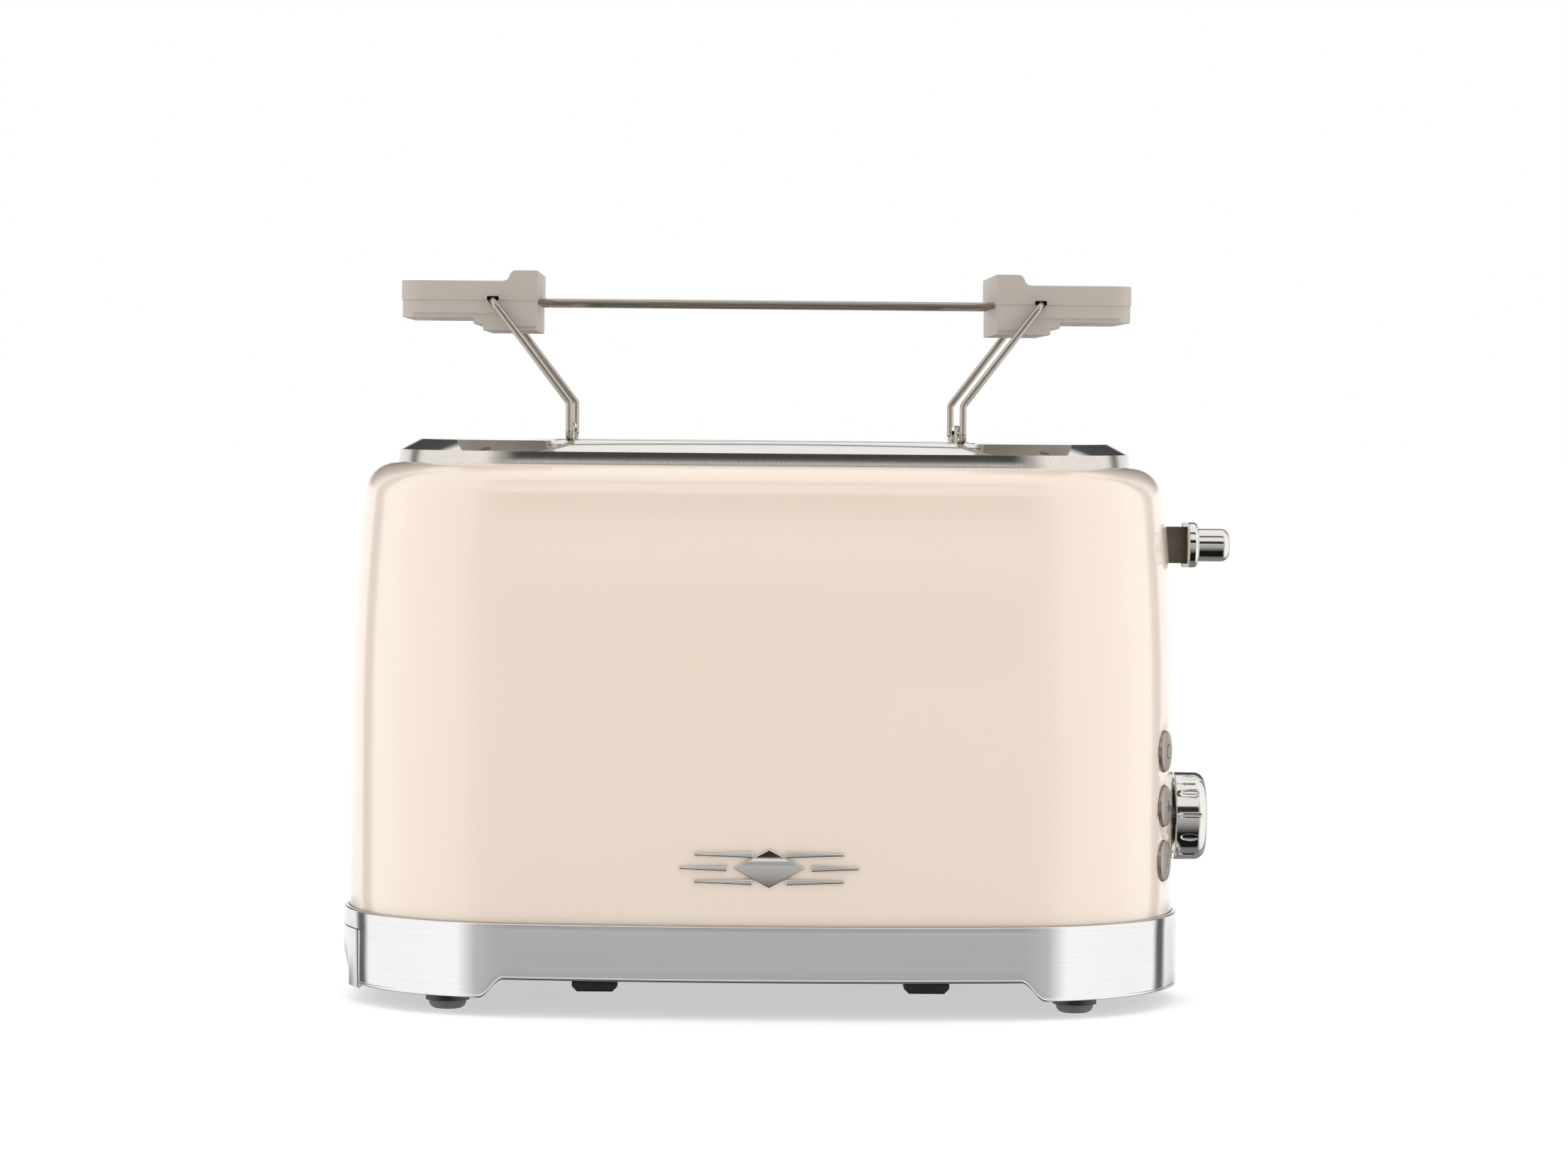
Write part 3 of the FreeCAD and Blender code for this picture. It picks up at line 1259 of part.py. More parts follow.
def shape_upper(grip):
    block = "(grip_inner + block_length)"
    curve = "(((block_step / 2)^2 + ((block_over - grip_over) / 2)^2) / (block_over - grip_over))"
    over, clear = "grip_outer + grip_wall", f"{BLOCK_TOP} + grip_wall"
    step = outline(
        sketch(grip, "front"),
        [
            (block, clear), (block, BLOCK_TOP),
            (f"{block} + block_step / 2", "grip_split + (block_over + grip_over) / 2"),
            (f"{block} + block_step", GRIP_TOP), (over, GRIP_TOP), (over, clear),
        ],
        {1: (curve, -1), 2: (curve, 1)},
    )
    pocket(grip, step, "3 * grip_half", both=True)
    depth = "grip_over - grip_wall"
    pocket(grip, grip_hollow(grip), depth, back=True)
    for side in (1, -1):
        place = "grip_screw_x", f"{side} * grip_screw_y"
        pad(grip, screw_boss(grip, "grip_split", side), depth)
        pocket(grip, circle(sketch(grip, "floor", "grip_split"), *place, "grip_screw"), depth, back=True)


def shape_lower(grip):
    out, below = "grip_outer + grip_wall", f"{BLOCK_BOTTOM} - grip_wall"
    level = "grip_split - (grip_under + block_under) / 2"
    under = outline(
        sketch(grip, "front"),
        [
            ("grip_step - grip_ledge", below), (out, below), (out, GRIP_BOTTOM), ("grip_step", GRIP_BOTTOM),
            ("grip_step", level), ("grip_step - grip_ledge", level),
        ],
    )
    pocket(grip, under, "3 * grip_half", both=True)
    pocket(grip, grip_hollow(grip), "grip_under - grip_wall")
    for side in (1, -1):
        place = "grip_screw_x", f"{side} * grip_screw_y"
        pad(grip, screw_boss(grip, GRIP_BOTTOM, side), "grip_under")
        sink = circle(sketch(grip, "floor", GRIP_BOTTOM), *place, "grip_screw_head + running_gap")
        pocket(grip, sink, "grip_wall", back=True)
        pocket(
            grip, circle(sketch(grip, "floor", GRIP_BOTTOM), *place, "grip_screw + fit_gap"), "grip_under",
            back=True,
        )


def screw_boss(grip, height, side):
    x, y = "grip_screw_x", f"{side} * grip_screw_y"
    return rectangle(
        sketch(grip, "floor", height), f"{x} - grip_boss", f"{y} - grip_boss",
        f"{x} + grip_boss", f"{y} + grip_boss",
    )


def grip_hollow(grip):
    start, end, half = "grip_inner + rod_grip", "(grip_outer - grip_wall)", "(grip_half - grip_wall)"
    chamfer = "(grip_corner - grip_wall)"
    return outline(
        sketch(grip, "floor", "grip_split"),
        [
            (start, f"-{half}"), (f"{end} - {chamfer}", f"-{half}"), (end, f"{chamfer} - {half}"),
            (end, f"{half} - {chamfer}"), (f"{end} - {chamfer}", half), (start, half),
        ],
    )


def bore_grip(grip):
    for n in range(int(value("rod_count"))):
        y = f"rod_spread * (2 * {n} / (rod_count - 1) - 1)"
        seat = circle(sketch(grip, "end", "grip_inner"), y, "grip_split", "rod_radius + fit_gap")
        pocket(grip, seat, "rod_grip", back=True)
    pivot = circle(sketch(grip, "front"), "leg_pivot_x", "grip_split", "leg_wire + fit_gap")
    pocket(grip, pivot, "3 * grip_half", both=True)


def make_warmer_rods():
    rods = []
    for n in range(int(value("rod_count"))):
        y = f"rod_spread * (2 * {n} / (rod_count - 1) - 1)"
        start = "grip_inner + rod_grip - fit_gap"
        rods.append(
            rod(f"warmer_rod_{n}", (f"-({start})", y, "grip_split"), "rod_radius", f"2 * ({start})", "x"),
        )
    keep("warmer_rods", group("warmer_rods", rods))


def bent_wire(label, points, radius, bend):
    """A wire along straight runs, each bend drawn as one short run between two mitres."""
    path = [points[0]]
    for before, corner, after in zip(points, points[1:], points[2:]):
        into, out = (corner - before).normalize(), (after - corner).normalize()
        reach = bend * math.tan(into.getAngle(out) / 2)
        path += [corner - into * reach, corner + out * reach]
    path.append(points[-1])
    turn = Rotation(Vector(0, 0, 1), path[1] - path[0])
    sides = int(value("wire_sides"))
    ring = []
    for n in range(sides + 1):
        angle = 2 * math.pi * n / sides
        ring.append(path[0] + turn.multVec(Vector(math.cos(angle), math.sin(angle), 0) * radius))
    item = doc.addObject("Part::Feature", label)
    item.Shape = Part.makePolygon(path).makePipeShell([Part.makePolygon(ring)], True, False, 1)
    return keep(label, item)


def make_legs():
    """Each leg is one wire: down from the front pivot, through both slots, over the bridge and back up."""
    half = [
        ("leg_pivot_x", "-leg_half + leg_pin", "grip_split"), ("leg_pivot_x", "-leg_half", "grip_split"),
        ("leg_x", "-leg_half", "leg_knee_z"), ("leg_x", "-leg_half", "leg_rest_z"),
        ("leg_x", "-hook_in", "leg_rest_z"), ("leg_x", "-hook_in", "hook_z"),
        ("leg_x", "-hook_out", "hook_z"),
        ("leg_x", "-hook_out", "hump_z"),
    ]
    front = [Vector(value(x), value(y), value(z)) for x, y, z in half]
    back = [Vector(p.x, -p.y, p.z) for p in reversed(front)]
    for name, turn in (("right", 0), ("left", 180)):
        leg = bent_wire(f"warmer_leg_{name}", front + back, value("leg_wire"), value("leg_bend"))
        leg.Placement = Placement(Vector(), Rotation(Vector(0, 0, 1), turn))


# ---- screws ------------------------------------------------------------------------


def make_screws():
    screws = []
    head = "(floor_bottom + screw_sink - screw_cap)"
    for x in ("post_x", "-post_x"):
        for y in ("post_y", "-post_y"):
            screws.append(screw(f"chassis_screw_{len(screws)}", (x, y, head), "screw_head", "screw_cap",
                                "screw_radius - fit_gap", f"plate_foot + screw_end - {head}"))
    keep("chassis_screws", group("chassis_screws", screws))
    screws = []
    head = f"({GRIP_BOTTOM} + fit_gap)"
    for x in ("grip_screw_x", "-grip_screw_x"):
        for y in ("grip_screw_y", "-grip_screw_y"):
            screws.append(screw(
                f"warmer_screw_{len(screws)}", (x, y, head), "grip_screw_head", "grip_wall - fit_gap",
                "grip_screw - fit_gap", f"{GRIP_TOP} - grip_wall - running_gap - {head}",
            ))
    keep("warmer_screws", group("warmer_screws", screws))


def screw(label, place, head, cap, shank, length):
    return fuse(
        label, [bar(label + "_head", place, head, cap), bar(label + "_shank", place, shank, length)],
    )


# ---- the whole toaster ---------------------------------------------------------------

make_shell()
make_skirt()
make_floor()
make_feet()
make_inlet()
make_crumb_tray()
make_top()
make_end_plate("end_plate_left", -1)
make_end_plate("end_plate_right", 1)
make_reflectors()
make_heaters()
make_grids()
make_racks()
make_bracket()
make_spring()
make_lever()
make_magnet()
make_dial()
make_boards()
make_buttons()
make_grips()
make_warmer_rods()
make_legs()
make_screws()
doc.recompute()

failed = [item.Label for item in doc.Objects if {"Invalid", "Error"} & set(item.State)]
failed += [label for label, item in made.items() if item.Shape.isNull() or not item.Shape.isValid()]
if failed:
    raise RuntimeError("not built: " + ", ".join(sorted(set(failed))))

os.makedirs("parts", exist_ok=True)
for label, item in made.items():
    item.Shape.exportStep(f"parts/{label}.step")
    print(f"{label}: {len(item.Shape.Solids)} solid(s), {item.Shape.Volume / 1000:.2f} cm3")
print(len(made), "sub-parts")
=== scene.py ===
import json
import math

import bmesh
import bpy
from mathutils import Matrix, Vector


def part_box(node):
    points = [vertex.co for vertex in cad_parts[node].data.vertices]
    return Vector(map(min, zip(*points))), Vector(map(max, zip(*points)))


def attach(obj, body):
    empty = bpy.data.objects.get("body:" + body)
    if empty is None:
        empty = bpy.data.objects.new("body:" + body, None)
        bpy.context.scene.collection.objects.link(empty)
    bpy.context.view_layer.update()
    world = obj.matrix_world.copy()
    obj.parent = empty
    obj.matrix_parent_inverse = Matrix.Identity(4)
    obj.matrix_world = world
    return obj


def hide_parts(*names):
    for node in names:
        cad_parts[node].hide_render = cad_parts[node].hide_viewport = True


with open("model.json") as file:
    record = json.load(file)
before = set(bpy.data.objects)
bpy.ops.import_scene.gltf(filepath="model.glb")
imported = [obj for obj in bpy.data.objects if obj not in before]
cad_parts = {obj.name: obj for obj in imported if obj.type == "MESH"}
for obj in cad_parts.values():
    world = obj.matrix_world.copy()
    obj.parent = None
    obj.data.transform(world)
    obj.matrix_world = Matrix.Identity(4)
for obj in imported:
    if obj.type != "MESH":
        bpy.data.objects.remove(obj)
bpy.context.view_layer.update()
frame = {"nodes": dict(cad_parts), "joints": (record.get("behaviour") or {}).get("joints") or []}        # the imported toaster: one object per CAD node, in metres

nodes = frame["nodes"]
boxOf = {name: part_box(name) for name in nodes}
scene = bpy.context.scene
mm = 0.001
fullTurn = 2 * math.pi
hair = 0.01 * mm         # slack for finding faces and edges by their place
past = 5 * mm            # how far a cutter reaches past what it cuts
weld = 0.002 * mm        # points closer than this become one


# Small tools: selecting by place, extruding ring by ring, turning a profile, finishing a piece

def clearSelection():
    bpy.ops.object.select_all(action="DESELECT")


def take(piece):
    clearSelection()
    piece.select_set(True)
    bpy.context.view_layer.objects.active = piece
    return piece


def editing(piece, mode="VERT", action="SELECT"):
    take(piece)
    bpy.ops.object.mode_set(mode="EDIT")
    bpy.ops.mesh.select_mode(type=mode)
    bpy.ops.mesh.select_all(action=action)
    return bmesh.from_edit_mesh(piece.data)


def doneEditing():
    bpy.ops.object.mode_set(mode="OBJECT")


def pick(piece, kind, wanted):
    # Selects the faces or edges that pass the test, and nothing else.
    mesh = editing(piece, kind, "DESELECT")
    for item in mesh.faces if kind == "FACE" else mesh.edges:
        item.select_set(bool(wanted(item)))
    mesh.select_flush_mode()
    bmesh.update_edit_mesh(piece.data)


def addObject(name, data):
    item = bpy.data.objects.new(name, data)
    scene.collection.objects.link(item)
    return item


def newPiece(name):
    piece = bpy.context.object
    piece.name = piece.data.name = name
    return piece


def modify(piece, kind, **settings):
    take(piece)
    item = piece.modifiers.new(kind.title(), kind)
    for name, value in settings.items():
        setattr(item, name, value)
    bpy.ops.object.modifier_apply(modifier=item.name)
    return piece


def bevel(piece, width, segments=3, angle=30):
    return modify(piece, "BEVEL", width=width, segments=segments, limit_method="ANGLE",
                  angle_limit=math.radians(angle))


def carve(piece, cutter):
    modify(piece, "BOOLEAN", operation="DIFFERENCE", solver="EXACT", object=cutter)
    bpy.data.objects.remove(cutter)
    return piece


def outward(piece):
    editing(piece)
    bpy.ops.mesh.remove_doubles(threshold=weld)
    bpy.ops.mesh.normals_make_consistent(inside=False)
    doneEditing()
    return piece


def ringStack(name, rings, close="caps"):
    # A wall through rings of points: a circle moved onto the first, then one extrusion for each of the rest.
    clearSelection()
    bpy.ops.mesh.primitive_circle_add(vertices=len(rings[0]), radius=1)
    piece = newPiece(name)
    mesh = editing(piece)
    for vertex, point in zip(mesh.verts, rings[0]):
        vertex.co = point
    places = {tuple(vertex.co): n for n, vertex in enumerate(mesh.verts)}
    for ring in rings[1:]:
        bpy.ops.mesh.extrude_region_move()
        mesh = bmesh.from_edit_mesh(piece.data)
        moved = {}
        for vertex in mesh.verts:
            if vertex.select:
                n = places[tuple(vertex.co)]
                vertex.co = ring[n]
                moved[tuple(vertex.co)] = n
        places = moved
    bmesh.update_edit_mesh(piece.data)
    if close == "tube":
        bpy.ops.mesh.select_non_manifold(extend=False)
        bpy.ops.mesh.bridge_edge_loops()
    else:
        for ring in (rings[0], rings[-1]):
            marks = {tuple(Vector(point)) for point in ring}
            bpy.ops.mesh.select_all(action="DESELECT")
            mesh = bmesh.from_edit_mesh(piece.data)
            for vertex in mesh.verts:
                vertex.select_set(tuple(vertex.co) in marks)
            mesh.select_flush_mode()
            bpy.ops.mesh.edge_face_add()
    doneEditing()
    return outward(piece)


def turned(name, profile, centre, axis, steps=96):
    # Spins a profile of (along, out) points about an axis through the centre.
    axis = Vector(axis).normalized()
    aside = axis.orthogonal().normalized()
    points = [Vector(centre) + axis * along + aside * out for along, out in profile]
    clearSelection()
    bpy.ops.mesh.primitive_plane_add(size=1 * mm, location=points[0])
    piece = newPiece(name)
    bpy.ops.object.transform_apply()
    editing(piece)
    bpy.ops.mesh.merge(type="CENTER")
    for before, after in zip(points, points[1:]):
        bpy.ops.mesh.extrude_region_move(TRANSFORM_OT_translate={"value": after - before})
    bpy.ops.mesh.select_all(action="SELECT")
    bpy.ops.mesh.spin(steps=steps, angle=fullTurn, center=centre, axis=axis)
    doneEditing()
    return outward(piece)


def drill(piece, radius, near, far, centre, axis, steps=64):
    # A round hole about an axis, from near to far along it
    profile = [(near, 0), (near, radius), (far, radius), (far, 0)]
    carve(piece, turned("drill", profile, centre, axis, steps))


def dome(start, rise, radius, steps):
    # Points of a shallow dome in a profile, from inside its rim to the axis
    shares = [n / steps for n in range(steps - 1, -1, -1)]
    return [(start + rise * (1 - share ** 2), radius * share) for share in shares]


def arc(centreAlong, centreOut, radius, start, end, steps):
    # Points of an arc in a profile, in degrees: 0 points along, 90 points out.
    turns = [math.radians(start + (end - start) * n / steps) for n in range(steps + 1)]
    return [(centreAlong + radius * math.cos(a), centreOut + radius * math.sin(a)) for a in turns]


def block(name, low, high):
    clearSelection()
    middle = [(a + b) / 2 for a, b in zip(low, high)]
    bpy.ops.mesh.primitive_cube_add(size=1, location=middle)
    piece = newPiece(name)
    piece.scale = [b - a for a, b in zip(low, high)]
    bpy.ops.object.transform_apply()
    return piece


def roundedBlock(name, low, high, radius, steps=8):
    # An upright block with rounded corners in plan.
    ring = []
    corners = ((high[0], high[1]), (low[0], high[1]), (low[0], low[1]), (high[0], low[1]))
    for n, (x, y) in enumerate(corners):
        centreX = x - math.copysign(radius, x - (low[0] + high[0]) / 2)
        centreY = y - math.copysign(radius, y - (low[1] + high[1]) / 2)
        for step in range(steps + 1):
            a = math.radians(90 * n + 90 * step / steps)
            ring.append((centreX + radius * math.cos(a), centreY + radius * math.sin(a)))
    return ringStack(name, [[(x, y, z) for x, y in ring] for z in (low[2], high[2])])


def wire(name, corners, radius, bend, sides=16, bendSteps=8):
    # A round wire along straight runs, with an arc at every corner.
    path = [corners[0]]
    for before, corner, after in zip(corners, corners[1:], corners[2:]):
        into, out = (corner - before).normalized(), (after - corner).normalized()
        half = into.angle(out) / 2
        reach = bend * math.tan(half)
        centre = corner + (out - into).normalized() * (bend / math.cos(half))
        start = corner - into * reach - centre
        axis = into.cross(out).normalized()
        for step in range(bendSteps + 1):
            path.append(centre + Matrix.Rotation(2 * half * step / bendSteps, 3, axis) @ start)
    path.append(corners[-1])
    direction = (path[1] - path[0]).normalized()
    aside = direction.orthogonal().normalized()
    rings = []
    for n, place in enumerate(path):
        before = (place - path[n - 1]).normalized() if n else direction
        after = (path[n + 1] - place).normalized() if n + 1 < len(path) else before
        turn = direction.rotation_difference((before + after).normalized())
        direction = (before + after).normalized()
        aside = (turn @ aside).normalized()
        over = direction.cross(aside)
        rings.append([place + (aside * math.cos(a) + over * math.sin(a)) * radius
                      for a in (fullTurn * k / sides for k in range(sides))])
    return ringStack(name, rings)


def copyOf(original, name, place=Matrix()):
    # A copy with a mesh of its own, moved by this matrix
    piece = addObject(name, original.data.copy())
    piece.data.name = name
    piece.data.transform(place)
    return piece


def copyOfNode(name, node):
    # A merged copy of a CAD node's mesh, to be dressed
    piece = copyOf(nodes[node], name)
    editing(piece)
    bpy.ops.mesh.remove_doubles(threshold=weld)
    bpy.ops.mesh.customdata_custom_splitnormals_clear()
    bpy.ops.mesh.dissolve_limited(angle_limit=math.radians(0.5))    # the triangles of flat faces
    doneEditing()
    return piece


def finish(piece, body, slot, *replaced, finishes=None, angle=35):
    # Shading that is smooth up to this angle, the materials, and the piece's place in the frame
    take(piece)
    bpy.ops.object.shade_smooth_by_angle(angle=math.radians(angle))
    piece.data.materials.clear()
    for name in finishes or [slot]:
        piece.data.materials.append(finishOf[name])
    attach(piece, body)
    if replaced:
        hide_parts(*replaced)
    return piece


def dressed(name, node, body, slot, width, segments=2, angle=30):
    piece = copyOfNode(name, node)
    bevel(piece, width, segments, angle)
    return finish(piece, body, slot, node, angle=40)


# Materials

colourA, colourB, colourOut = 6, 7, 2      # a Mix node's sockets when it mixes colours


def colour(hexCode):
    # sRGB hex to linear light
    parts = [int(hexCode[n:n + 2], 16) / 255 for n in (1, 3, 5)]
    return [c / 12.92 if c <= 0.04045 else ((c + 0.055) / 1.055) ** 2.4 for c in parts] + [1]


def perMillimetre(size):
    # A texture scale that gives features of this many millimetres
    return 1 / (size * mm)


def fillStops(points, stops):
    # A colour ramp's stops, each a place and a level of grey
    while len(points) > 1:
        points.remove(points[-1])
    for n, (where, level) in enumerate(stops):
        point = points.new(where) if n else points[0]
        point.position = where
        point.color = (level, level, level, 1)


def addNode(tree, kind, settings=None, links=None):
    # Adds a node, sets it and links it. A link comes from an output, or from a node's first one.
    item = tree.nodes.new("ShaderNode" + kind)
    for name, value in (settings or {}).items():
        if name == "stops":
            fillStops(item.color_ramp.elements, value)
        elif isinstance(name, int) or name in item.inputs:
            item.inputs[name].default_value = value
        else:
            setattr(item, name, value)
    for name, source in (links or {}).items():
        tree.links.new(getattr(source, "outputs", [source])[0], item.inputs[name])
    return item


def startFinish(name, **shader):
    # A principled surface with its constants on its own sockets, and Object coordinates beside it.
    material = bpy.data.materials.new(name)
    material.use_nodes = True
    tree = material.node_tree
    surface = tree.nodes["Principled BSDF"]
    for socket, value in shader.items():
        surface.inputs[socket.replace("_", " ")].default_value = value
    place = addNode(tree, "TexCoord").outputs["Object"]
    return material, tree, surface, place


def shade(tree, surface, look, tone, rough=None, height=None):
    # Patterns of 0 to 1 lead the two tones, the span of roughness and the relief that the look gives.
    first, second = look["tones"]
    settings = {"data_type": "RGBA", colourA: colour(first), colourB: colour(second)}
    mixed = addNode(tree, "Mix", settings, {0: tone}).outputs[colourOut]
    tree.links.new(mixed, surface.inputs["Base Color"])
    if rough:
        low, high = look["rough"]
        span = addNode(tree, "MapRange", {"To Min": low, "To Max": high}, {"Value": rough})
        tree.links.new(span.outputs["Result"], surface.inputs["Roughness"])
    if height:
        settings = {"Distance": look["depth"] * mm, "Strength": look["strength"]}
        bump = addNode(tree, "Bump", settings, {"Height": height})
        tree.links.new(bump.outputs["Normal"], surface.inputs["Normal"])
    return mixed


finishOf = {}


def creamEnamel():
    # Gloss enamel baked on pressed steel: a deep even cream with a clear skin and a trace of orange peel
    look = {"tones": ("#EADACA", "#E8D7C6"), "cloud": 60, "peel": 2.2, "depth": 0.004, "strength": 1}
    material, tree, surface, place = startFinish("bakedGlossEnamel", Roughness=0.3, IOR=1.5,
                                                 Coat_Weight=1.0, Coat_Roughness=0.05)
    cloud = addNode(tree, "TexNoise", {"Scale": perMillimetre(look["cloud"])}, {"Vector": place})
    peel = addNode(tree, "TexNoise", {"Scale": perMillimetre(look["peel"])}, {"Vector": place})
    shade(tree, surface, look, cloud, height=peel)
    return material


def polishedChrome():
    # Bright chromium plate, buffed before plating: mirror-like with a faint haze that varies along it
    look = {"tones": ("#D9D6D2", "#D1CECA"), "haze": 9, "rough": (0.05, 0.1)}
    material, tree, surface, place = startFinish("polishedChromePlate", Metallic=1.0)
    settings = {"Scale": perMillimetre(look["haze"]), "Detail": 3}
    haze = addNode(tree, "TexNoise", settings, {"Vector": place})
    shade(tree, surface, look, haze, haze)
    return material


def platedSkirt():
    # The same plate over a rolled steel band: the rolling leaves faint level streaks and a soft haze
    look = {"tones": ("#DEDEDE", "#CCCCCC"), "streak": 0.5, "streakLength": 90, "haze": 14,
            "rough": (0.04, 0.2), "depth": 0.002, "strength": 0.2}
    material, tree, surface, place = startFinish("chromePlatedRolledBand", Metallic=1.0)
    squeeze = look["streak"] / look["streakLength"]
    along = addNode(tree, "Mapping", {"Scale": (squeeze, squeeze, 1)}, {"Vector": place})
    settings = {"Scale": perMillimetre(look["streak"]), "Detail": 4, "Roughness": 0.65}
    streaks = addNode(tree, "TexNoise", settings, {"Vector": along})
    haze = addNode(tree, "TexNoise", {"Scale": perMillimetre(look["haze"])}, {"Vector": place})
    both = addNode(tree, "Math", {"operation": "MULTIPLY"}, {0: streaks, 1: haze})
    shade(tree, surface, look, streaks, both, streaks)
    return material


def brushedTrim():
    # Stainless sheet brushed across the band with fine grit, so the lines stand upright
    look = {"tones": ("#D9D4CD", "#B4AEA7"), "grit": 0.25, "lineLength": 12, "rough": (0.1, 0.24),
            "depth": 0.004, "strength": 0.5}
    return lined("brushedStainlessTrim", look, look["grit"], (1, 1, look["grit"] / look["lineLength"]))


def drawnMetal(name, tones, roughness, line, stretch=(1, 1, 1)):
    # Rolled, drawn or turned metal: soft lines along the way it was worked
    look = {"tones": tones, "rough": (roughness * 0.75, roughness * 1.3), "depth": 0.003, "strength": 0.4}
    return lined(name, look, line, stretch)


def lined(name, look, line, stretch):
    # Bare metal whose lines, this many millimetres apart, give its tone, its roughness and its relief
    material, tree, surface, place = startFinish(name, Metallic=1.0)
    along = addNode(tree, "Mapping", {"Scale": stretch}, {"Vector": place})
    settings = {"Scale": perMillimetre(line), "Detail": 3, "Roughness": 0.6}
    lines = addNode(tree, "TexNoise", settings, {"Vector": along})
    shade(tree, surface, look, lines, lines, lines)
    return material


def moulded(name, tones, roughness, grain, depth, ior=1.5):
    # An injection-moulded plastic or rubber: spark-eroded grain in the mould, so a fine even tooth
    look = {"tones": tones, "cloud": 25, "rough": (roughness - 0.05, roughness + 0.07), "depth": depth,
            "strength": 0.6}
    material, tree, surface, place = startFinish(name, IOR=ior)
    cloud = addNode(tree, "TexNoise", {"Scale": perMillimetre(look["cloud"])}, {"Vector": place})
    settings = {"Scale": perMillimetre(grain), "Detail": 3, "Roughness": 0.6}
    tooth = addNode(tree, "TexNoise", settings, {"Vector": place})
    shade(tree, surface, look, cloud, tooth, tooth)
    return material


def flaked(name, tones, rough, size, stretch=(1, 1, 1), **shader):
    # Crystals or flakes a few millimetres across, each with a shade and a gloss of its own
    look = {"tones": tones, "rough": rough}
    material, tree, surface, place = startFinish(name, **shader)
    along = addNode(tree, "Mapping", {"Scale": stretch}, {"Vector": place})
    flakes = addNode(tree, "TexVoronoi", {"Scale": perMillimetre(size)}, {"Vector": along})
    level = addNode(tree, "SeparateColor", {}, {"Color": flakes.outputs["Color"]})
    shade(tree, surface, look, level, level)
    return material


def coilWinding():
    # Enamelled copper wire wound close: ridges one wire apart up the coil, with painted shade in the grooves
    # and a painted highlight on the crowns
    look = {"tones": ("#6E3B1E", "#B4683A"), "wirePitch": 0.45, "depth": 0.15, "strength": 1}
    material, tree, surface, place = startFinish("enamelledCopperWindingPaintedGrooveShade", Roughness=0.35, Metallic=0.6)
    height = addNode(tree, "SeparateXYZ", {}, {"Vector": place}).outputs["Z"]
    settings = {"operation": "MULTIPLY", 1: fullTurn * perMillimetre(look["wirePitch"])}
    turns = addNode(tree, "Math", settings, {0: height})
    ridgeReliefAndPaintedShade = addNode(tree, "Math", {"operation": "SINE"}, {0: turns})
    level = addNode(tree, "MapRange", {"From Min": -1.0}, {"Value": ridgeReliefAndPaintedShade})
    # the dark tone in the grooves between turns is painted shade, the light tone on their crowns a painted
    # highlight
    shade(tree, surface, look, level, height=level)
    return material


def circuitBoard():
    # Glass-fibre board under green resist: a faint weave with tinned pads
    look = {"tones": ("#2F5B3A", "#356443"), "tin": "#C9C4B4", "weave": 0.8, "padPitch": 5, "padSize": 0.16,
            "rough": (0.4, 0.25)}
    material, tree, surface, place = startFinish("fibreCircuitBoard", IOR=1.55)
    weave = addNode(tree, "TexChecker", {"Scale": perMillimetre(look["weave"])}, {"Vector": place})
    pads = addNode(tree, "TexVoronoi", {"Scale": perMillimetre(look["padPitch"])}, {"Vector": place})
    settings = {"operation": "LESS_THAN", 1: look["padSize"]}
    spot = addNode(tree, "Math", settings, {0: pads.outputs["Distance"]})
    resist = shade(tree, surface, look, weave.outputs["Fac"], spot)
    # the tin lies over the resist
    settings = {"data_type": "RGBA", colourB: colour(look["tin"])}
    face = addNode(tree, "Mix", settings, {0: spot, colourA: resist}).outputs[colourOut]
    tree.links.new(face, surface.inputs["Base Color"])
    return material


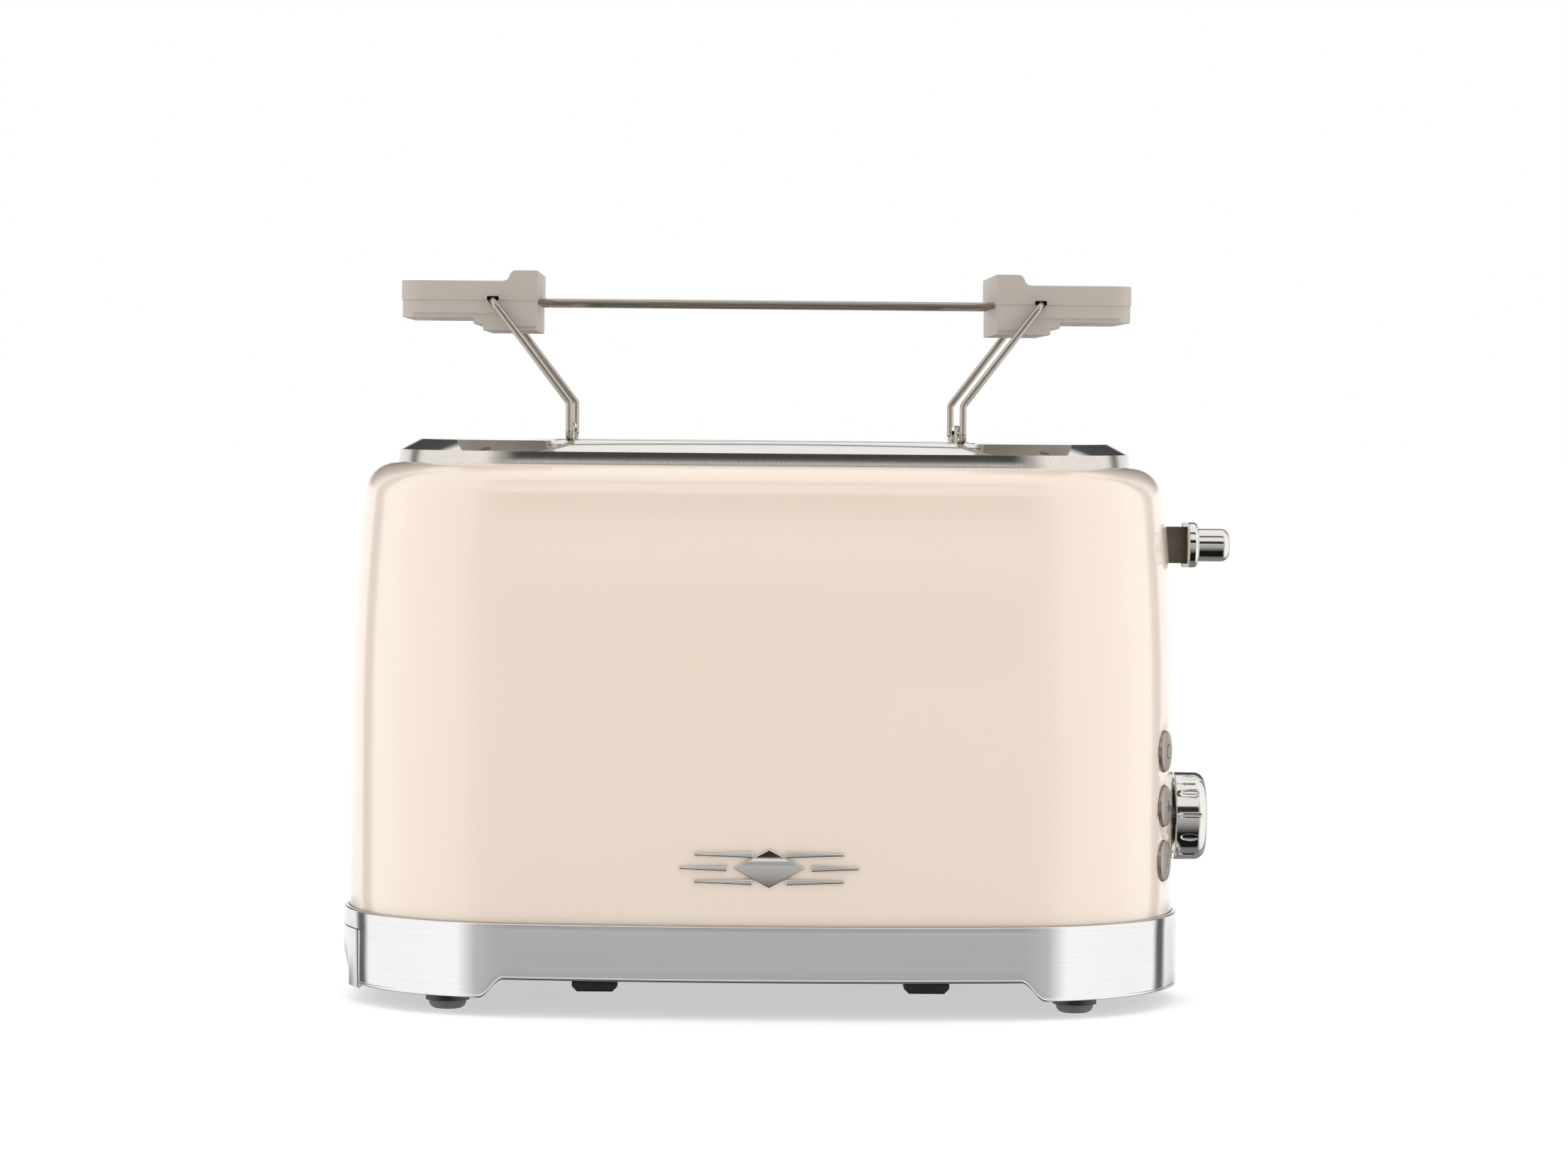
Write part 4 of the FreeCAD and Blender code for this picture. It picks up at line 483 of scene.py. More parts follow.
def makeFinishes():
    alongX, alongY, alongZ = (0.05, 1, 1), (1, 0.08, 1), (1, 1, 0.05)
    finishOf.update({
        "cream_enamel": creamEnamel(),
        "chrome": polishedChrome(),
        "skirt": platedSkirt(),
        "brushed_trim": brushedTrim(),
        "black_plastic": moulded("blackPbtMoulding", ("#1B1B1C", "#232324"), 0.42, 0.5, 0.02),
        "lug_plastic": moulded("lightGreyAbsMoulding", ("#D9D5D0", "#CCC8C3"), 0.4, 0.4, 0.01),
        "foot_rubber": moulded("darkGreyRubber", ("#6E7073", "#626467"), 0.6, 0.5, 0.02, 1.52),
        "grip_plastic": moulded("warmGreyMoulding", ("#B8AFA6", "#B0A79E"), 0.46, 0.35, 0.012),
        "white_plastic": moulded("naturalNylon", ("#E3E1DA", "#D8D6CE"), 0.45, 0.4, 0.01),
        "black_switch": moulded("blackSwitchBody", ("#202021", "#29292A"), 0.4, 0.3, 0.01),
        "graphic": moulded("engravedFill", ("#5E574F", "#57504A"), 0.6, 0.3, 0.005),
        "bright_sheet": drawnMetal("aluminisedReflector", ("#D2D3D4", "#BFC1C3"), 0.22, 0.6, (0.02, 1, 1)),
        "tray_sheet": drawnMetal("rolledTraySheet", ("#B4B5B6", "#A1A3A5"), 0.32, 0.5, (0.02, 1, 1)),
        "heating_ribbon": drawnMetal("oxidisedHeatingRibbon", ("#6B6661", "#55504C"), 0.45, 0.4, alongX),
        "steel_wire": drawnMetal("nickelPlatedWire", ("#BDB4AA", "#A39A91"), 0.16, 0.4, alongX),
        "lever_steel": drawnMetal("darkSteelStrip", ("#7A736A", "#655D55"), 0.34, 0.4, alongX),
        "iron": drawnMetal("turnedSoftIron", ("#8B8987", "#75736F"), 0.4, 0.3, alongZ),
        "shaft_metal": drawnMetal("turnedAluminiumShaft", ("#BEBEC0", "#A8A8AA"), 0.3, 0.3, (1, 0.05, 0.05)),
        "satin_nickel": drawnMetal("satinNickelPlate", ("#B3A99E", "#A2988D"), 0.34, 0.25, alongY),
        "screw_steel": drawnMetal("zincPlatedScrew", ("#A7A9AB", "#939597"), 0.35, 0.3),
        # Hot-dip zinc spangles, and mica splittings pressed with binder, some silvery and some amber
        "galvanised_steel": flaked("galvanisedSheet", ("#A9ACAF", "#8D9196"), (0.3, 0.5), 5, Metallic=0.9),
        "mica": flaked("pressedMicaBoard", ("#B5A283", "#D3C6AC"), (0.25, 0.55), 3, (1, 1, 0.6), IOR=1.58),
        "coil_winding": coilWinding(),
        "circuit_board": circuitBoard(),
    })
    for node in nodes.values():
        for place in node.material_slots:
            place.material = finishOf[place.material.name.split(".")[0]]
    print("finishes:", len(finishOf))


# The housing's plan: front, back and end bows with rounded corners between them

plan = {
    "frontBow": 600 * mm,
    "endBow": 98 * mm,
    "cornerBow": 60 * mm,
    "ledge": 1.8 * mm,       # the skirt's step outside the shell
    "frontSteps": 18,        # points on each half of the front and back bows
    "cornerSteps": 44,
    "endSteps": 20,          # points on each half of an end bow
}


def planRing(inset, height):
    # Points round the plan, moved inwards; height is a number or a function of the point.
    high = boxOf["base_skirt"][1]
    halfX, halfY = high.x - plan["ledge"], high.y - plan["ledge"]
    front, end, corner = plan["frontBow"], plan["endBow"], plan["cornerBow"]
    farY, farX = front - halfY, halfX - end
    reach = math.hypot(farX, farY)
    along = ((front - corner) ** 2 - (end - corner) ** 2 + reach ** 2) / (2 * reach)
    aside = math.sqrt((front - corner) ** 2 - along ** 2)
    unit = Vector((farX, -farY)) / reach
    centre = Vector((0, farY)) + unit * along + Vector((-unit.y, unit.x)) * aside
    first = math.atan2(centre.y - farY, centre.x)
    second = math.atan2(centre.y, centre.x - farX)
    arcs = (
        (Vector((0, farY)), front - inset, -math.pi / 2, first, plan["frontSteps"]),
        (centre, corner - inset, first, second, plan["cornerSteps"]),
        (Vector((farX, 0)), end - inset, second, 0, plan["endSteps"]),
    )
    quarter = []
    for middle, radius, start, stop, steps in arcs:
        for n in range(steps):
            a = start + (stop - start) * n / steps
            quarter.append((middle.x + radius * math.cos(a), middle.y + radius * math.sin(a)))
    tip = (halfX - inset, 0)
    right = quarter + [tip] + [(x, -y) for x, y in reversed(quarter)]
    ring = right + [(-x, y) for x, y in reversed(right[1:-1])]
    return [(x, y, height(x, y) if callable(height) else height) for x, y in ring]


def onShell(x):
    # How far forward the front face lies at this distance from the middle
    front = plan["frontBow"]
    return -boxOf["base_skirt"][1].y + plan["ledge"] + front - math.sqrt(front ** 2 - x ** 2)


buttonNames = ("bottom", "middle", "top")

shell = {
    "wall": 0.9 * mm,
    "leanStart": 90 * mm,
    "leanBow": 800 * mm,
    "shoulder": 12 * mm,
    "flange": 5 * mm,
    "rings": 9,              # between the foot and the start of the lean
    "leverSlot": 5 * mm,
    "leverTravel": 56 * mm,
    "leverHeight": 12.3 * mm,
    "leverRoom": 1.5 * mm,   # above and below the lever arm
    "buttonHole": 7.0 * mm,
    "holeDepth": 12 * mm,
    "holeFront": 9 * mm,
    "shaftHole": 4.0 * mm,
    "cutDepth": 30 * mm,     # from outside the knob to behind the wall
    "rim": 0.25 * mm,
}


def makeShell():
    low, high = boxOf["outer_shell"]
    top, lean, bow, shoulder = high.z, shell["leanStart"], shell["leanBow"], shell["shoulder"]
    rise = top - shoulder - lean
    middle = bow - math.sqrt((bow - shoulder) ** 2 - rise ** 2)
    turn = math.degrees(math.asin(rise / (bow - shoulder)))
    wall = shell["wall"]
    outside = [(0, low.z + (lean - low.z) * n / shell["rings"]) for n in range(shell["rings"])]
    outside += [(bow - a, lean + b) for a, b in arc(0, 0, bow, 0, turn, 10)]
    outside += [(middle - a, top - shoulder + b) for a, b in arc(0, 0, shoulder, turn, 90, 16)[1:]]
    inside = [(middle - a, top - shoulder + b) for a, b in arc(0, 0, shoulder - wall, 90, turn, 8)]
    inside += [(bow - a, lean + b) for a, b in arc(0, 0, bow - wall, turn, 0, 6)[1:]] + [(wall, low.z)]
    lip = middle + shell["flange"]
    section = outside + [(lip, top), (lip, top - wall)] + inside
    piece = ringStack("enamelledShell", [planRing(inset, z) for inset, z in section], "tube")
    cutShell(piece)
    bevel(piece, shell["rim"], segments=2, angle=50)
    finish(piece, "housing", "cream_enamel", "outer_shell")
    print("shell:", len(piece.data.polygons), "faces")


def cutShell(piece):
    # The lever's slot, the dial shaft's hole and the buttons' holes
    arm, knob = boxOf["lever_arm"], boxOf["dial_knob"]
    half, room = shell["leverSlot"] / 2, shell["leverRoom"]
    out = knob[0].x + past
    inner = out - shell["cutDepth"]
    below = arm[1].z + room
    above = shell["leverHeight"] + shell["leverTravel"] + room - arm[1].z
    slot = roundedBlock("leverCutter", (-below, -half, inner), (above, half, out), half * 0.9)
    slot.data.transform(Matrix.Rotation(math.pi / 2, 4, "Y"))
    carve(piece, slot)
    centre = (inner, 0, (knob[0].z + knob[1].z) / 2)
    drill(piece, shell["shaftHole"], 0, shell["cutDepth"], centre, (1, 0, 0), steps=48)
    for name in buttonNames:
        face, normal = buttonFace(name)
        drill(piece, shell["buttonHole"], -shell["holeDepth"], shell["holeFront"], face, normal)


def buttonFace(name):
    # Where a button's axis meets the end bow, and the way it faces
    joint = next(j for j in frame["joints"] if j["child"] == "button_" + name)
    normal = -Vector(joint["axis"]).normalized()
    low, high = boxOf["button_" + name]
    tilt = math.atan2(-normal.y, normal.x)
    centre = boxOf["base_skirt"][1].x - plan["ledge"] - plan["endBow"]
    bow = plan["endBow"]
    return Vector((centre + bow * math.cos(tilt), -bow * math.sin(tilt), (low.z + high.z) / 2)), normal


skirt = {
    "wall": 1.0 * mm,
    "joint": 0.35 * mm,      # shadow gap beside the shell
    "seat": 4.0 * mm,
    "edge": 0.55 * mm,       # rounding of the upper edge
    "bead": 0.55 * mm,       # rolled lower edge
    "beadProud": 0.25 * mm,
    "flare": 2.4,            # the bead runs out at this many times its radius
    "arch": 12.2 * mm,
    "archHalf": 84 * mm,
    "archStep": 8 * mm,
    "doorGap": 0.3 * mm,
    "doorDepth": 15 * mm,
    "inlet": 5.0 * mm,       # radius of the cord's hole
    "inletDepth": 9 * mm,
}


def archHeight(x, y):
    # The lower edge: level along the arch, with an S-curve down to each leg
    low = boxOf["base_skirt"][0].z
    reach = (skirt["archHalf"] + skirt["archStep"] - abs(x)) / skirt["archStep"]
    share = min(max(reach, 0), 1)
    return low + (skirt["arch"] - low) * share * share * (3 - 2 * share)


def makeSkirt():
    low, high = boxOf["base_skirt"]
    out, wall, bead, edge = -plan["ledge"], skirt["wall"], skirt["bead"], skirt["edge"]
    shellFoot = boxOf["outer_shell"][0].z
    beadMiddle = out - skirt["beadProud"] + bead
    around = [(beadMiddle - a, bead + b) for a, b in arc(0, 0, bead, -120, 60, 8)]
    flare = bead * skirt["flare"]
    lower = around + [(out, flare)]
    upper = [(out + edge - a, high.z - edge + b) for a, b in arc(0, 0, edge, 0, 90, 5)]
    upper += [(-skirt["joint"], high.z), (-skirt["joint"], shellFoot), (skirt["seat"], shellFoot),
              (skirt["seat"], shellFoot - wall), (out + wall, shellFoot - wall)]

    def rising(inset, lift):
        return planRing(inset, lambda x, y: archHeight(x, y) + lift)

    def between(inset, share):
        top = high.z - edge
        return planRing(inset, lambda x, y: (archHeight(x, y) + flare) * (1 - share) + top * share)

    rings = [rising(inset, lift) for inset, lift in lower]
    rings += [between(out, n / 6) for n in range(1, 6)]
    rings += [planRing(inset, z) for inset, z in upper]
    rings.append(rising(out + wall, flare))
    piece = ringStack("chromeSkirt", rings, "tube")
    door, gap = boxOf["tray_front"], skirt["doorGap"]
    near = (low.x - past, door[0].y - gap, low.z - past)
    carve(piece, block("doorCutter", near, (low.x + skirt["doorDepth"], door[1].y + gap, door[1].z + gap)))
    bush = boxOf["cord_inlet_bush"]
    deep = skirt["inletDepth"]
    drill(piece, skirt["inlet"], -deep, deep, (bush[0] + bush[1]) / 2, (0, 1, 0), steps=48)
    finish(piece, "housing", "chrome", "base_skirt", finishes=["skirt"])
    print("skirt:", len(piece.data.polygons), "faces")


topPanel = {
    "inset": 15.5 * mm,
    "band": 4.0 * mm,
    "bandLean": 0.6 * mm,    # how far the band leans in
    "slope": 7.0 * mm,
    "sheet": 0.8 * mm,
    "slotHalf": 70 * mm,
    "slotInner": 8 * mm,
    "slotOuter": 42 * mm,
    "slotCorner": 5 * mm,
    "lipFold": 0.9 * mm,
    "fold": 0.35 * mm,
}


def makeTop():
    low, high = boxOf["top_panel"]
    inset, band = topPanel["inset"], boxOf["outer_shell"][1].z + topPanel["band"]
    inner, leaning = inset + topPanel["slope"], inset + topPanel["bandLean"]
    piece = ringStack("steelTop", [planRing(inset, low.z), planRing(leaning, band), planRing(inner, high.z)])
    half, outer = topPanel["slotHalf"], topPanel["slotOuter"]
    for side in (-1, 1):
        near, far = sorted((side * topPanel["slotInner"], side * outer))
        first, last = (-half, near, low.z - past), (half, far, high.z + past)
        carve(piece, roundedBlock("slotCutter", first, last, topPanel["slotCorner"]))

    def onSlotRim(edge):
        ends = [vertex.co for vertex in edge.verts]
        raised = all(end.z > high.z - hair for end in ends)
        within = all(abs(end.x) <= half + hair and abs(end.y) <= outer + hair for end in ends)
        return raised and within and any(abs(face.normal.z) < 0.1 for face in edge.link_faces)

    pick(piece, "EDGE", onSlotRim)
    bpy.ops.mesh.bevel(offset=topPanel["lipFold"], segments=4, affect="EDGES")
    doneEditing()
    pick(piece, "FACE", lambda f: f.normal.z < -0.9 and f.calc_center_median().z < low.z + hair)
    bpy.ops.mesh.delete(type="FACE")
    doneEditing()
    modify(piece, "SOLIDIFY", thickness=topPanel["sheet"], offset=-1, use_even_offset=True)
    bevel(piece, topPanel["fold"], segments=3, angle=20)
    finish(piece, "housing", "brushed_trim", "top_panel", finishes=["chrome", "brushed_trim"])
    for face in piece.data.polygons:
        outside = abs(face.center.y) > outer + past or abs(face.center.x) > half + past
        onBand = abs(face.normal.z) < 0.6 and face.center.z < band
        face.material_index = 1 if outside and onBand else 0
    print("top:", len(piece.data.polygons), "faces")


lever = {
    "collarRound": 1.4 * mm,
    "barrelRound": 3.0 * mm,
    "collar": 3.1 * mm,
    "barrelRadius": 5.5 * mm,
    "neck": 0.35 * mm,
    "backEdge": 0.2 * mm,
    "dish": 0.25 * mm,       # the end face lies this much back from the rim
    "armEdge": 0.15 * mm,
    "lugEdge": 0.12 * mm,
}


def makeLever():
    low, high = boxOf["lever_knob"]
    radius, length = (high.z - low.z) / 2, high.x - low.x
    barrel, rounding, corner = lever["barrelRadius"], lever["barrelRound"], lever["collarRound"]
    collar, neck, back, dish = lever["collar"], lever["neck"], lever["backEdge"], lever["dish"]
    profile = [(0, 0), (0, radius - back), (back, radius)]
    profile += arc(collar - corner, radius - corner, corner, 90, 8, 8)
    profile += arc(collar + neck, barrel + neck, neck, 180, 270, 5)
    profile += arc(length - rounding, barrel - rounding, rounding, 90, 0, 12)
    profile += [(length - dish, barrel - rounding - 2 * dish), (length - dish, 0)]
    piece = turned("leverKnob", profile, (low.x, 0, (low.z + high.z) / 2), (1, 0, 0))
    finish(piece, "lift", "chrome", "lever_knob", angle=40)
    dressed("leverArm", "lever_arm", "lift", "lever_steel", lever["armEdge"])
    dressed("leverLugs", "lever_core", "lift", "lug_plastic", lever["lugEdge"])
    print("lever")


dial = {
    "round": 4.0 * mm,
    "backEdge": 0.35 * mm,
    "crown": 0.45 * mm,
    "rim": 0.4 * mm,         # between the rounding and the crown
    "wall": 1.8 * mm,
    "hub": 5.0 * mm,
    "step": 2.0 * mm,        # the hub ends this far inside
    "frontWall": 3.0 * mm,
    "hollow": 6.0 * mm,      # the depth at which the hollow narrows
    "flutes": 12,
    "fluteStart": 1.5 * mm,
    "fluteLength": 6.6 * mm,
    "fluteWidth": 2.9 * mm,
    "fluteDepth": 0.55 * mm,
    "pointer": 0.75 * mm,    # radius of the pointer groove
    "pointerRise": 0.25 * mm,
    "edge": 0.12 * mm,
    "turn": -4.5,            # degrees from straight ahead
}


def makeDial():
    low, high = boxOf["dial_knob"]
    radius, depth = (high.z - low.z) / 2, high.x - low.x
    back, crown, rounding, hub = dial["backEdge"], dial["crown"], dial["round"], dial["hub"]
    centre = Vector((low.x, 0, (low.z + high.z) / 2))
    face, behind, inside = depth - crown, depth - dial["frontWall"], radius - dial["wall"]
    profile = [(0, inside)] + arc(back, radius - back, back, 180, 90, 4)
    profile += arc(face - rounding, radius - rounding, rounding, 90, 6, 14)
    profile += dome(face, crown, radius - rounding - dial["rim"], 8)
    profile += [(dial["step"], 0), (dial["step"], hub), (behind, hub), (behind, inside - dial["step"]),
                (depth - dial["hollow"], inside), (0, inside)]
    piece = turned("browningDial", profile, centre, (1, 0, 0), steps=120)
    half = dial["fluteLength"] / 2
    pointing = Matrix.Rotation(math.radians(dial["turn"]), 4, "X")
    upright = Matrix.Rotation(math.pi / 2, 4, "X")
    size = Matrix.Diagonal((half, dial["fluteWidth"] / 2, dial["fluteDepth"], 1))
    place = Matrix.Translation((dial["fluteStart"] + half, 0, radius))
    clearSelection()
    bpy.ops.mesh.primitive_uv_sphere_add(segments=48, ring_count=24, radius=1)
    scoop = newPiece("scoop")
    for n in range(1, dial["flutes"]):       # the pointer has the first place
        turn = Matrix.Translation(centre) @ pointing @ Matrix.Rotation(fullTurn * n / dial["flutes"], 4, "X")
        carve(piece, copyOf(scoop, "fluteCutter", turn @ upright @ place @ size))
    bpy.data.objects.remove(scoop)
    pointer, rise = dial["pointer"], dial["pointerRise"]
    path = [Vector((dial["fluteStart"] + pointer, -radius, 0)), Vector((depth - 0.1 * mm, -radius, 0)),
            Vector((depth + rise, -radius + rounding + 2 * mm, 0))]
    path = [centre + pointing @ point for point in path]
    carve(piece, wire("pointerCutter", path, pointer, bend=rounding * 0.9, sides=20, bendSteps=12))
    bevel(piece, dial["edge"], segments=2, angle=25)
    finish(piece, "dial", "chrome", "dial_knob")
    print("dial:", len(piece.data.polygons), "faces")


button = {
    "proud": 1.1 * mm,
    "crown": 0.6 * mm,
    "edge": 0.55 * mm,
    "skirt": 3.0 * mm,
    "wall": 1.2 * mm,
    "stem": 2.0 * mm,
    "stemLength": 10 * mm,
    "engraving": 0.4 * mm,
    "cut": 2.0 * mm,         # height of the cutters of the signs
    "stroke": 0.45 * mm,
    "sign": 2.4 * mm,        # half the size of a sign
    "barSpacing": 0.9 * mm,  # from the middle to each bar
}


def makeButtons():
    low, high = boxOf["button_" + buttonNames[0]]
    first, normal = buttonFace(buttonNames[0])
    radius = (high.z - low.z) / 2
    proud, edge, crown, wall = button["proud"], button["edge"], button["crown"], button["wall"]
    inside, hem, flat = proud - wall, proud - button["skirt"], radius - edge
    stem, back = button["stem"], -button["stemLength"]
    profile = [(back, 0), (back, stem), (inside, stem), (inside, radius - wall), (hem, radius - wall),
               (hem, radius)]
    profile += arc(proud - edge, flat, edge, 90, 20, 6) + dome(proud, crown, flat, 10)
    blank = turned("blankCap", profile, first, normal)
    for name in buttonNames:
        face = buttonFace(name)[0]
        cap = copyOf(blank, "buttonCap." + name, Matrix.Translation(face - first))
        for cutter in signCutters(name, face, normal, proud + crown - button["engraving"]):
            carve(cap, cutter)
        finish(cap, "button_" + name, "satin_nickel", "button_" + name)
    bpy.data.objects.remove(blank)
    print("buttons")


def signCutters(name, face, normal, depth):
    # Plain signs: a ring, a star of three strokes and two bars, cut into the caps
    across = Vector((0, 0, 1)).cross(normal).normalized()
    stroke, reach, top = button["stroke"], button["sign"], depth + button["cut"]
    axes = Matrix((across, (0, 0, 1), normal)).transposed()
    place = Matrix.Translation(face) @ axes.to_4x4()
    half = stroke / 2
    if name == "top":
        near, far = reach - half, reach + half
        ring = [(depth, near), (depth, far), (top, far), (top, near), (depth, near)]
        return [turned("markCutter", ring, face, normal, steps=64)]
    if name == "middle":
        star = []
        for n in range(6):
            a, between = math.radians(60 * n), math.radians(60 * n + 30)
            along, over = Vector((math.cos(a), math.sin(a))), Vector((-math.sin(a), math.cos(a)))
            star += [along * reach - over * half, along * reach + over * half,
                     Vector((math.cos(between), math.sin(between))) * stroke]
        rings = [[place @ Vector((p.x, p.y, lift)) for p in star] for lift in (depth, top)]
        return [ringStack("markCutter", rings)]
    bars = []
    for aside in (-button["barSpacing"], button["barSpacing"]):
        bar = block("markCutter", (aside - half, -reach, depth), (aside + half, reach, top))
        bar.data.transform(place)
        bars.append(bar)
    return bars


foot = {
    "edge": 0.5 * mm,
    "pad": 3.4 * mm,
    "stem": 2.75 * mm,
    "stemLength": 4.4 * mm,
}


def makeFeet():
    low, high = boxOf["foot_front_left"]
    radius = (high.x - low.x) / 2
    stem = high.z - foot["stemLength"]
    rise, spread = stem - foot["edge"], radius - foot["pad"]
    profile = [(0, 0), (0, foot["pad"])]
    profile += [(rise * (1 - a), foot["pad"] + spread * b) for a, b in arc(0, 0, 1, 0, 90, 8)[1:]]
    profile += [(stem, radius), (stem, foot["stem"]), (high.z, foot["stem"]), (high.z, 0)]
    first = turned("firstFoot", profile, (0, 0, low.z), (0, 0, 1), steps=64)
    for name in ("front_left", "front_right", "rear_left", "rear_right"):
        low, high = boxOf["foot_" + name]
        middle = Matrix.Translation(((low.x + high.x) / 2, (low.y + high.y) / 2, 0))
        piece = copyOf(first, "rubberFoot." + name, middle)
        finish(piece, "housing", "foot_rubber", "foot_" + name, angle=40)
    bpy.data.objects.remove(first)
    print("feet")


warmer = {
    "gripEdge": 0.4 * mm,
    "seamStep": 0.3 * mm,    # the lower moulding is this much smaller all round
    "notch": 1.9 * mm,       # half width of the opening over each wire's end
    "notchDepth": 3.0 * mm,
    "notchRoom": 0.35 * mm,
    "padDrop": 8.4 * mm,     # side pad's lower edge under the parting line
    "padLength": 7.0 * mm,
    "padRise": 4.2 * mm,
    "recess": 1.4 * mm,      # how far the sides step in under the pad
    "wire": 1.15 * mm,
    "bend": 2.4 * mm,
    "knee": 199.0 * mm,
    "rest": 187.7 * mm,
    "hookIn": 36.0 * mm,
    "hookOut": 12.5 * mm,
    "hump": 191.2 * mm,
    "pin": 8.0 * mm,
}


def makeGrips():
    for side, sign in (("left", -1), ("right", 1)):
        makeUpperGrip(side, sign)
        makeLowerGrip(side, sign)
    print("grips")


def makeUpperGrip(side, sign):
    # With an opening over each wire's end
    node = f"warmer_grip_{side}_upper"
    piece = copyOfNode("warmerGrip.upper." + side, node)
    low, high = boxOf[node]
    leg = boxOf["warmer_leg_" + side]
    middle = leg[1].x - warmer["wire"] if sign > 0 else leg[0].x + warmer["wire"]
    half, deep, top = warmer["notch"], warmer["notchDepth"], leg[1].z + warmer["notchRoom"]
    for y, inward in ((low.y, 1), (high.y, -1)):
        near, far = sorted((y - inward * past, y + inward * deep))
        carve(piece, block("notchCutter", (middle - half, near, low.z - past), (middle + half, far, top)))
    roundGrip(piece, node)


def makeLowerGrip(side, sign):
    # With pads on its sides near the middle of the warmer, and a hair smaller than the upper moulding
    node = f"warmer_grip_{side}_lower"
    piece = copyOfNode("warmerGrip.lower." + side, node)
    low, high = boxOf[node]
    inner, outer = (low.x, high.x) if sign > 0 else (high.x, low.x)
    level, reach, rise = high.z - warmer["padDrop"], low.z - past, warmer["padRise"]
    pad = inner + sign * warmer["padLength"]
    line = [(inner - sign * past, reach), (outer + sign * past, reach), (outer + sign * past, level + rise),
            (pad + sign * rise, level + rise), (pad, level), (inner - sign * past, level)]
    for y, inward in ((low.y, 1), (high.y, -1)):
        rings = [[(x, place, z) for x, z in line]
                 for place in (y - inward * past, y + inward * warmer["recess"])]
        carve(piece, ringStack("padCutter", rings))
    middle, step = (low + high) / 2, warmer["seamStep"]
    for vertex in piece.data.vertices:
        for axis in (0, 1):
            away = vertex.co[axis] - middle[axis]
            if abs(away) > step:
                vertex.co[axis] -= math.copysign(step, away)
    roundGrip(piece, node)


def roundGrip(piece, node):
    bevel(piece, warmer["gripEdge"], segments=3, angle=28)
    finish(piece, "warmer", "grip_plastic", node, angle=40)


def makeLegs():
    for side, sign in (("left", -1), ("right", 1)):
        low, high = boxOf["warmer_leg_" + side]
        wireRadius = warmer["wire"]
        outer = (high.x if sign > 0 else -low.x) - wireRadius
        inner = (low.x if sign > 0 else -high.x) + wireRadius
        reach, split = high.y - wireRadius, high.z - wireRadius
        hook = low.z + wireRadius
        rest, far, near = warmer["rest"], -warmer["hookIn"], -warmer["hookOut"]
        half = [(outer, warmer["pin"] - reach, split), (outer, -reach, split),
                (inner, -reach, warmer["knee"]), (inner, -reach, rest), (inner, far, rest),
                (inner, far, hook), (inner, near, hook), (inner, near, warmer["hump"])]
        corners = [Vector((sign * x, y, z)) for x, y, z in half]
        corners += [Vector((p.x, -p.y, p.z)) for p in reversed(corners)]
        piece = wire("warmerLeg." + side, corners, wireRadius, warmer["bend"])
        finish(piece, "warmer", "steel_wire", "warmer_leg_" + side, angle=40)
    print("legs")


ornament = {
    "width": 58.5 * mm,
    "height": 12.6 * mm,
    "middleX": 1.8 * mm,
    "middleZ": 49.2 * mm,
    "raise": 1.3 * mm,
    "root": 0.1 * mm,        # how far it goes into the shell
    "edge": 0.45 * mm,
    "lozenge": 0.2,          # half width of the centre, as a share of the whole width
    "bars": 3,
    "barHeight": 2.0 * mm,
    "barPitch": 4.4 * mm,
    "barGap": 1.8 * mm,
    "barTip": 0.35,          # height of a bar's tip, as a share of its height
    "stagger": 1.1,          # how much shorter the outer bars are, per length off the middle
}


def makeOrnament():
    # A plain streamline emblem: a faceted lozenge between three tapering speed lines on each side
    width, height = ornament["width"], ornament["height"]
    centre = Vector((ornament["middleX"], 0, ornament["middleZ"]))
    half, deep = width * ornament["lozenge"], ornament["barHeight"] / 2
    tip = deep * ornament["barTip"]
    pieces = [facetedBar("emblem", [(-half, 0), (0, -height / 2), (half, 0), (0, height / 2)])]
    for side in (-1, 1):
        for n in range(ornament["bars"]):
            level = (n - (ornament["bars"] - 1) / 2) * ornament["barPitch"]
            start = side * (half * (1 - abs(level) / (height / 2)) + ornament["barGap"])
            end = side * (width / 2 - abs(level) * ornament["stagger"])
            ring = [(start, level - deep), (end, level - tip), (end, level + tip), (start, level + deep)]
            pieces.append(facetedBar("emblemBar", ring[::side]))
    take(pieces[0])
    for item in pieces[1:]:
        item.select_set(True)
    bpy.ops.object.join()
    piece = newPiece("frontEmblem")
    bevel(piece, ornament["edge"], segments=3, angle=40)
    for vertex in piece.data.vertices:
        x, lift, z = vertex.co
        vertex.co = (x + centre.x, onShell(x + centre.x) - lift, z + centre.z)
    outward(piece)
    finish(piece, "housing", "chrome", angle=30)
    print("emblem")


def facetedBar(name, ring):
    # A flat plate in the XZ plane, raised along Y, a little way into the shell at its back
    rings = [[(x, lift, z) for x, z in ring] for lift in (-ornament["root"], ornament["raise"])]
    return ringStack(name, rings)


small = {                    # CAD node, body, slot, and the rounded edges' width and segments
    "inletBush": ("cord_inlet_bush", "housing", "black_plastic", 0.2 * mm, 2),
    "trayFront": ("tray_front", "tray", "chrome", 0.5 * mm, 3),
    "floorMoulding": ("base_plate", "housing", "black_plastic", 0.3 * mm, 2),
    "warmerRods": ("warmer_rods", "warmer", "steel_wire", 0.2 * mm, 2),
}


def dressRest():
    for name, values in small.items():
        dressed(name, *values)
    bpy.data.objects["trayFront"].data.materials[0] = finishOf["skirt"]
    print("small parts")


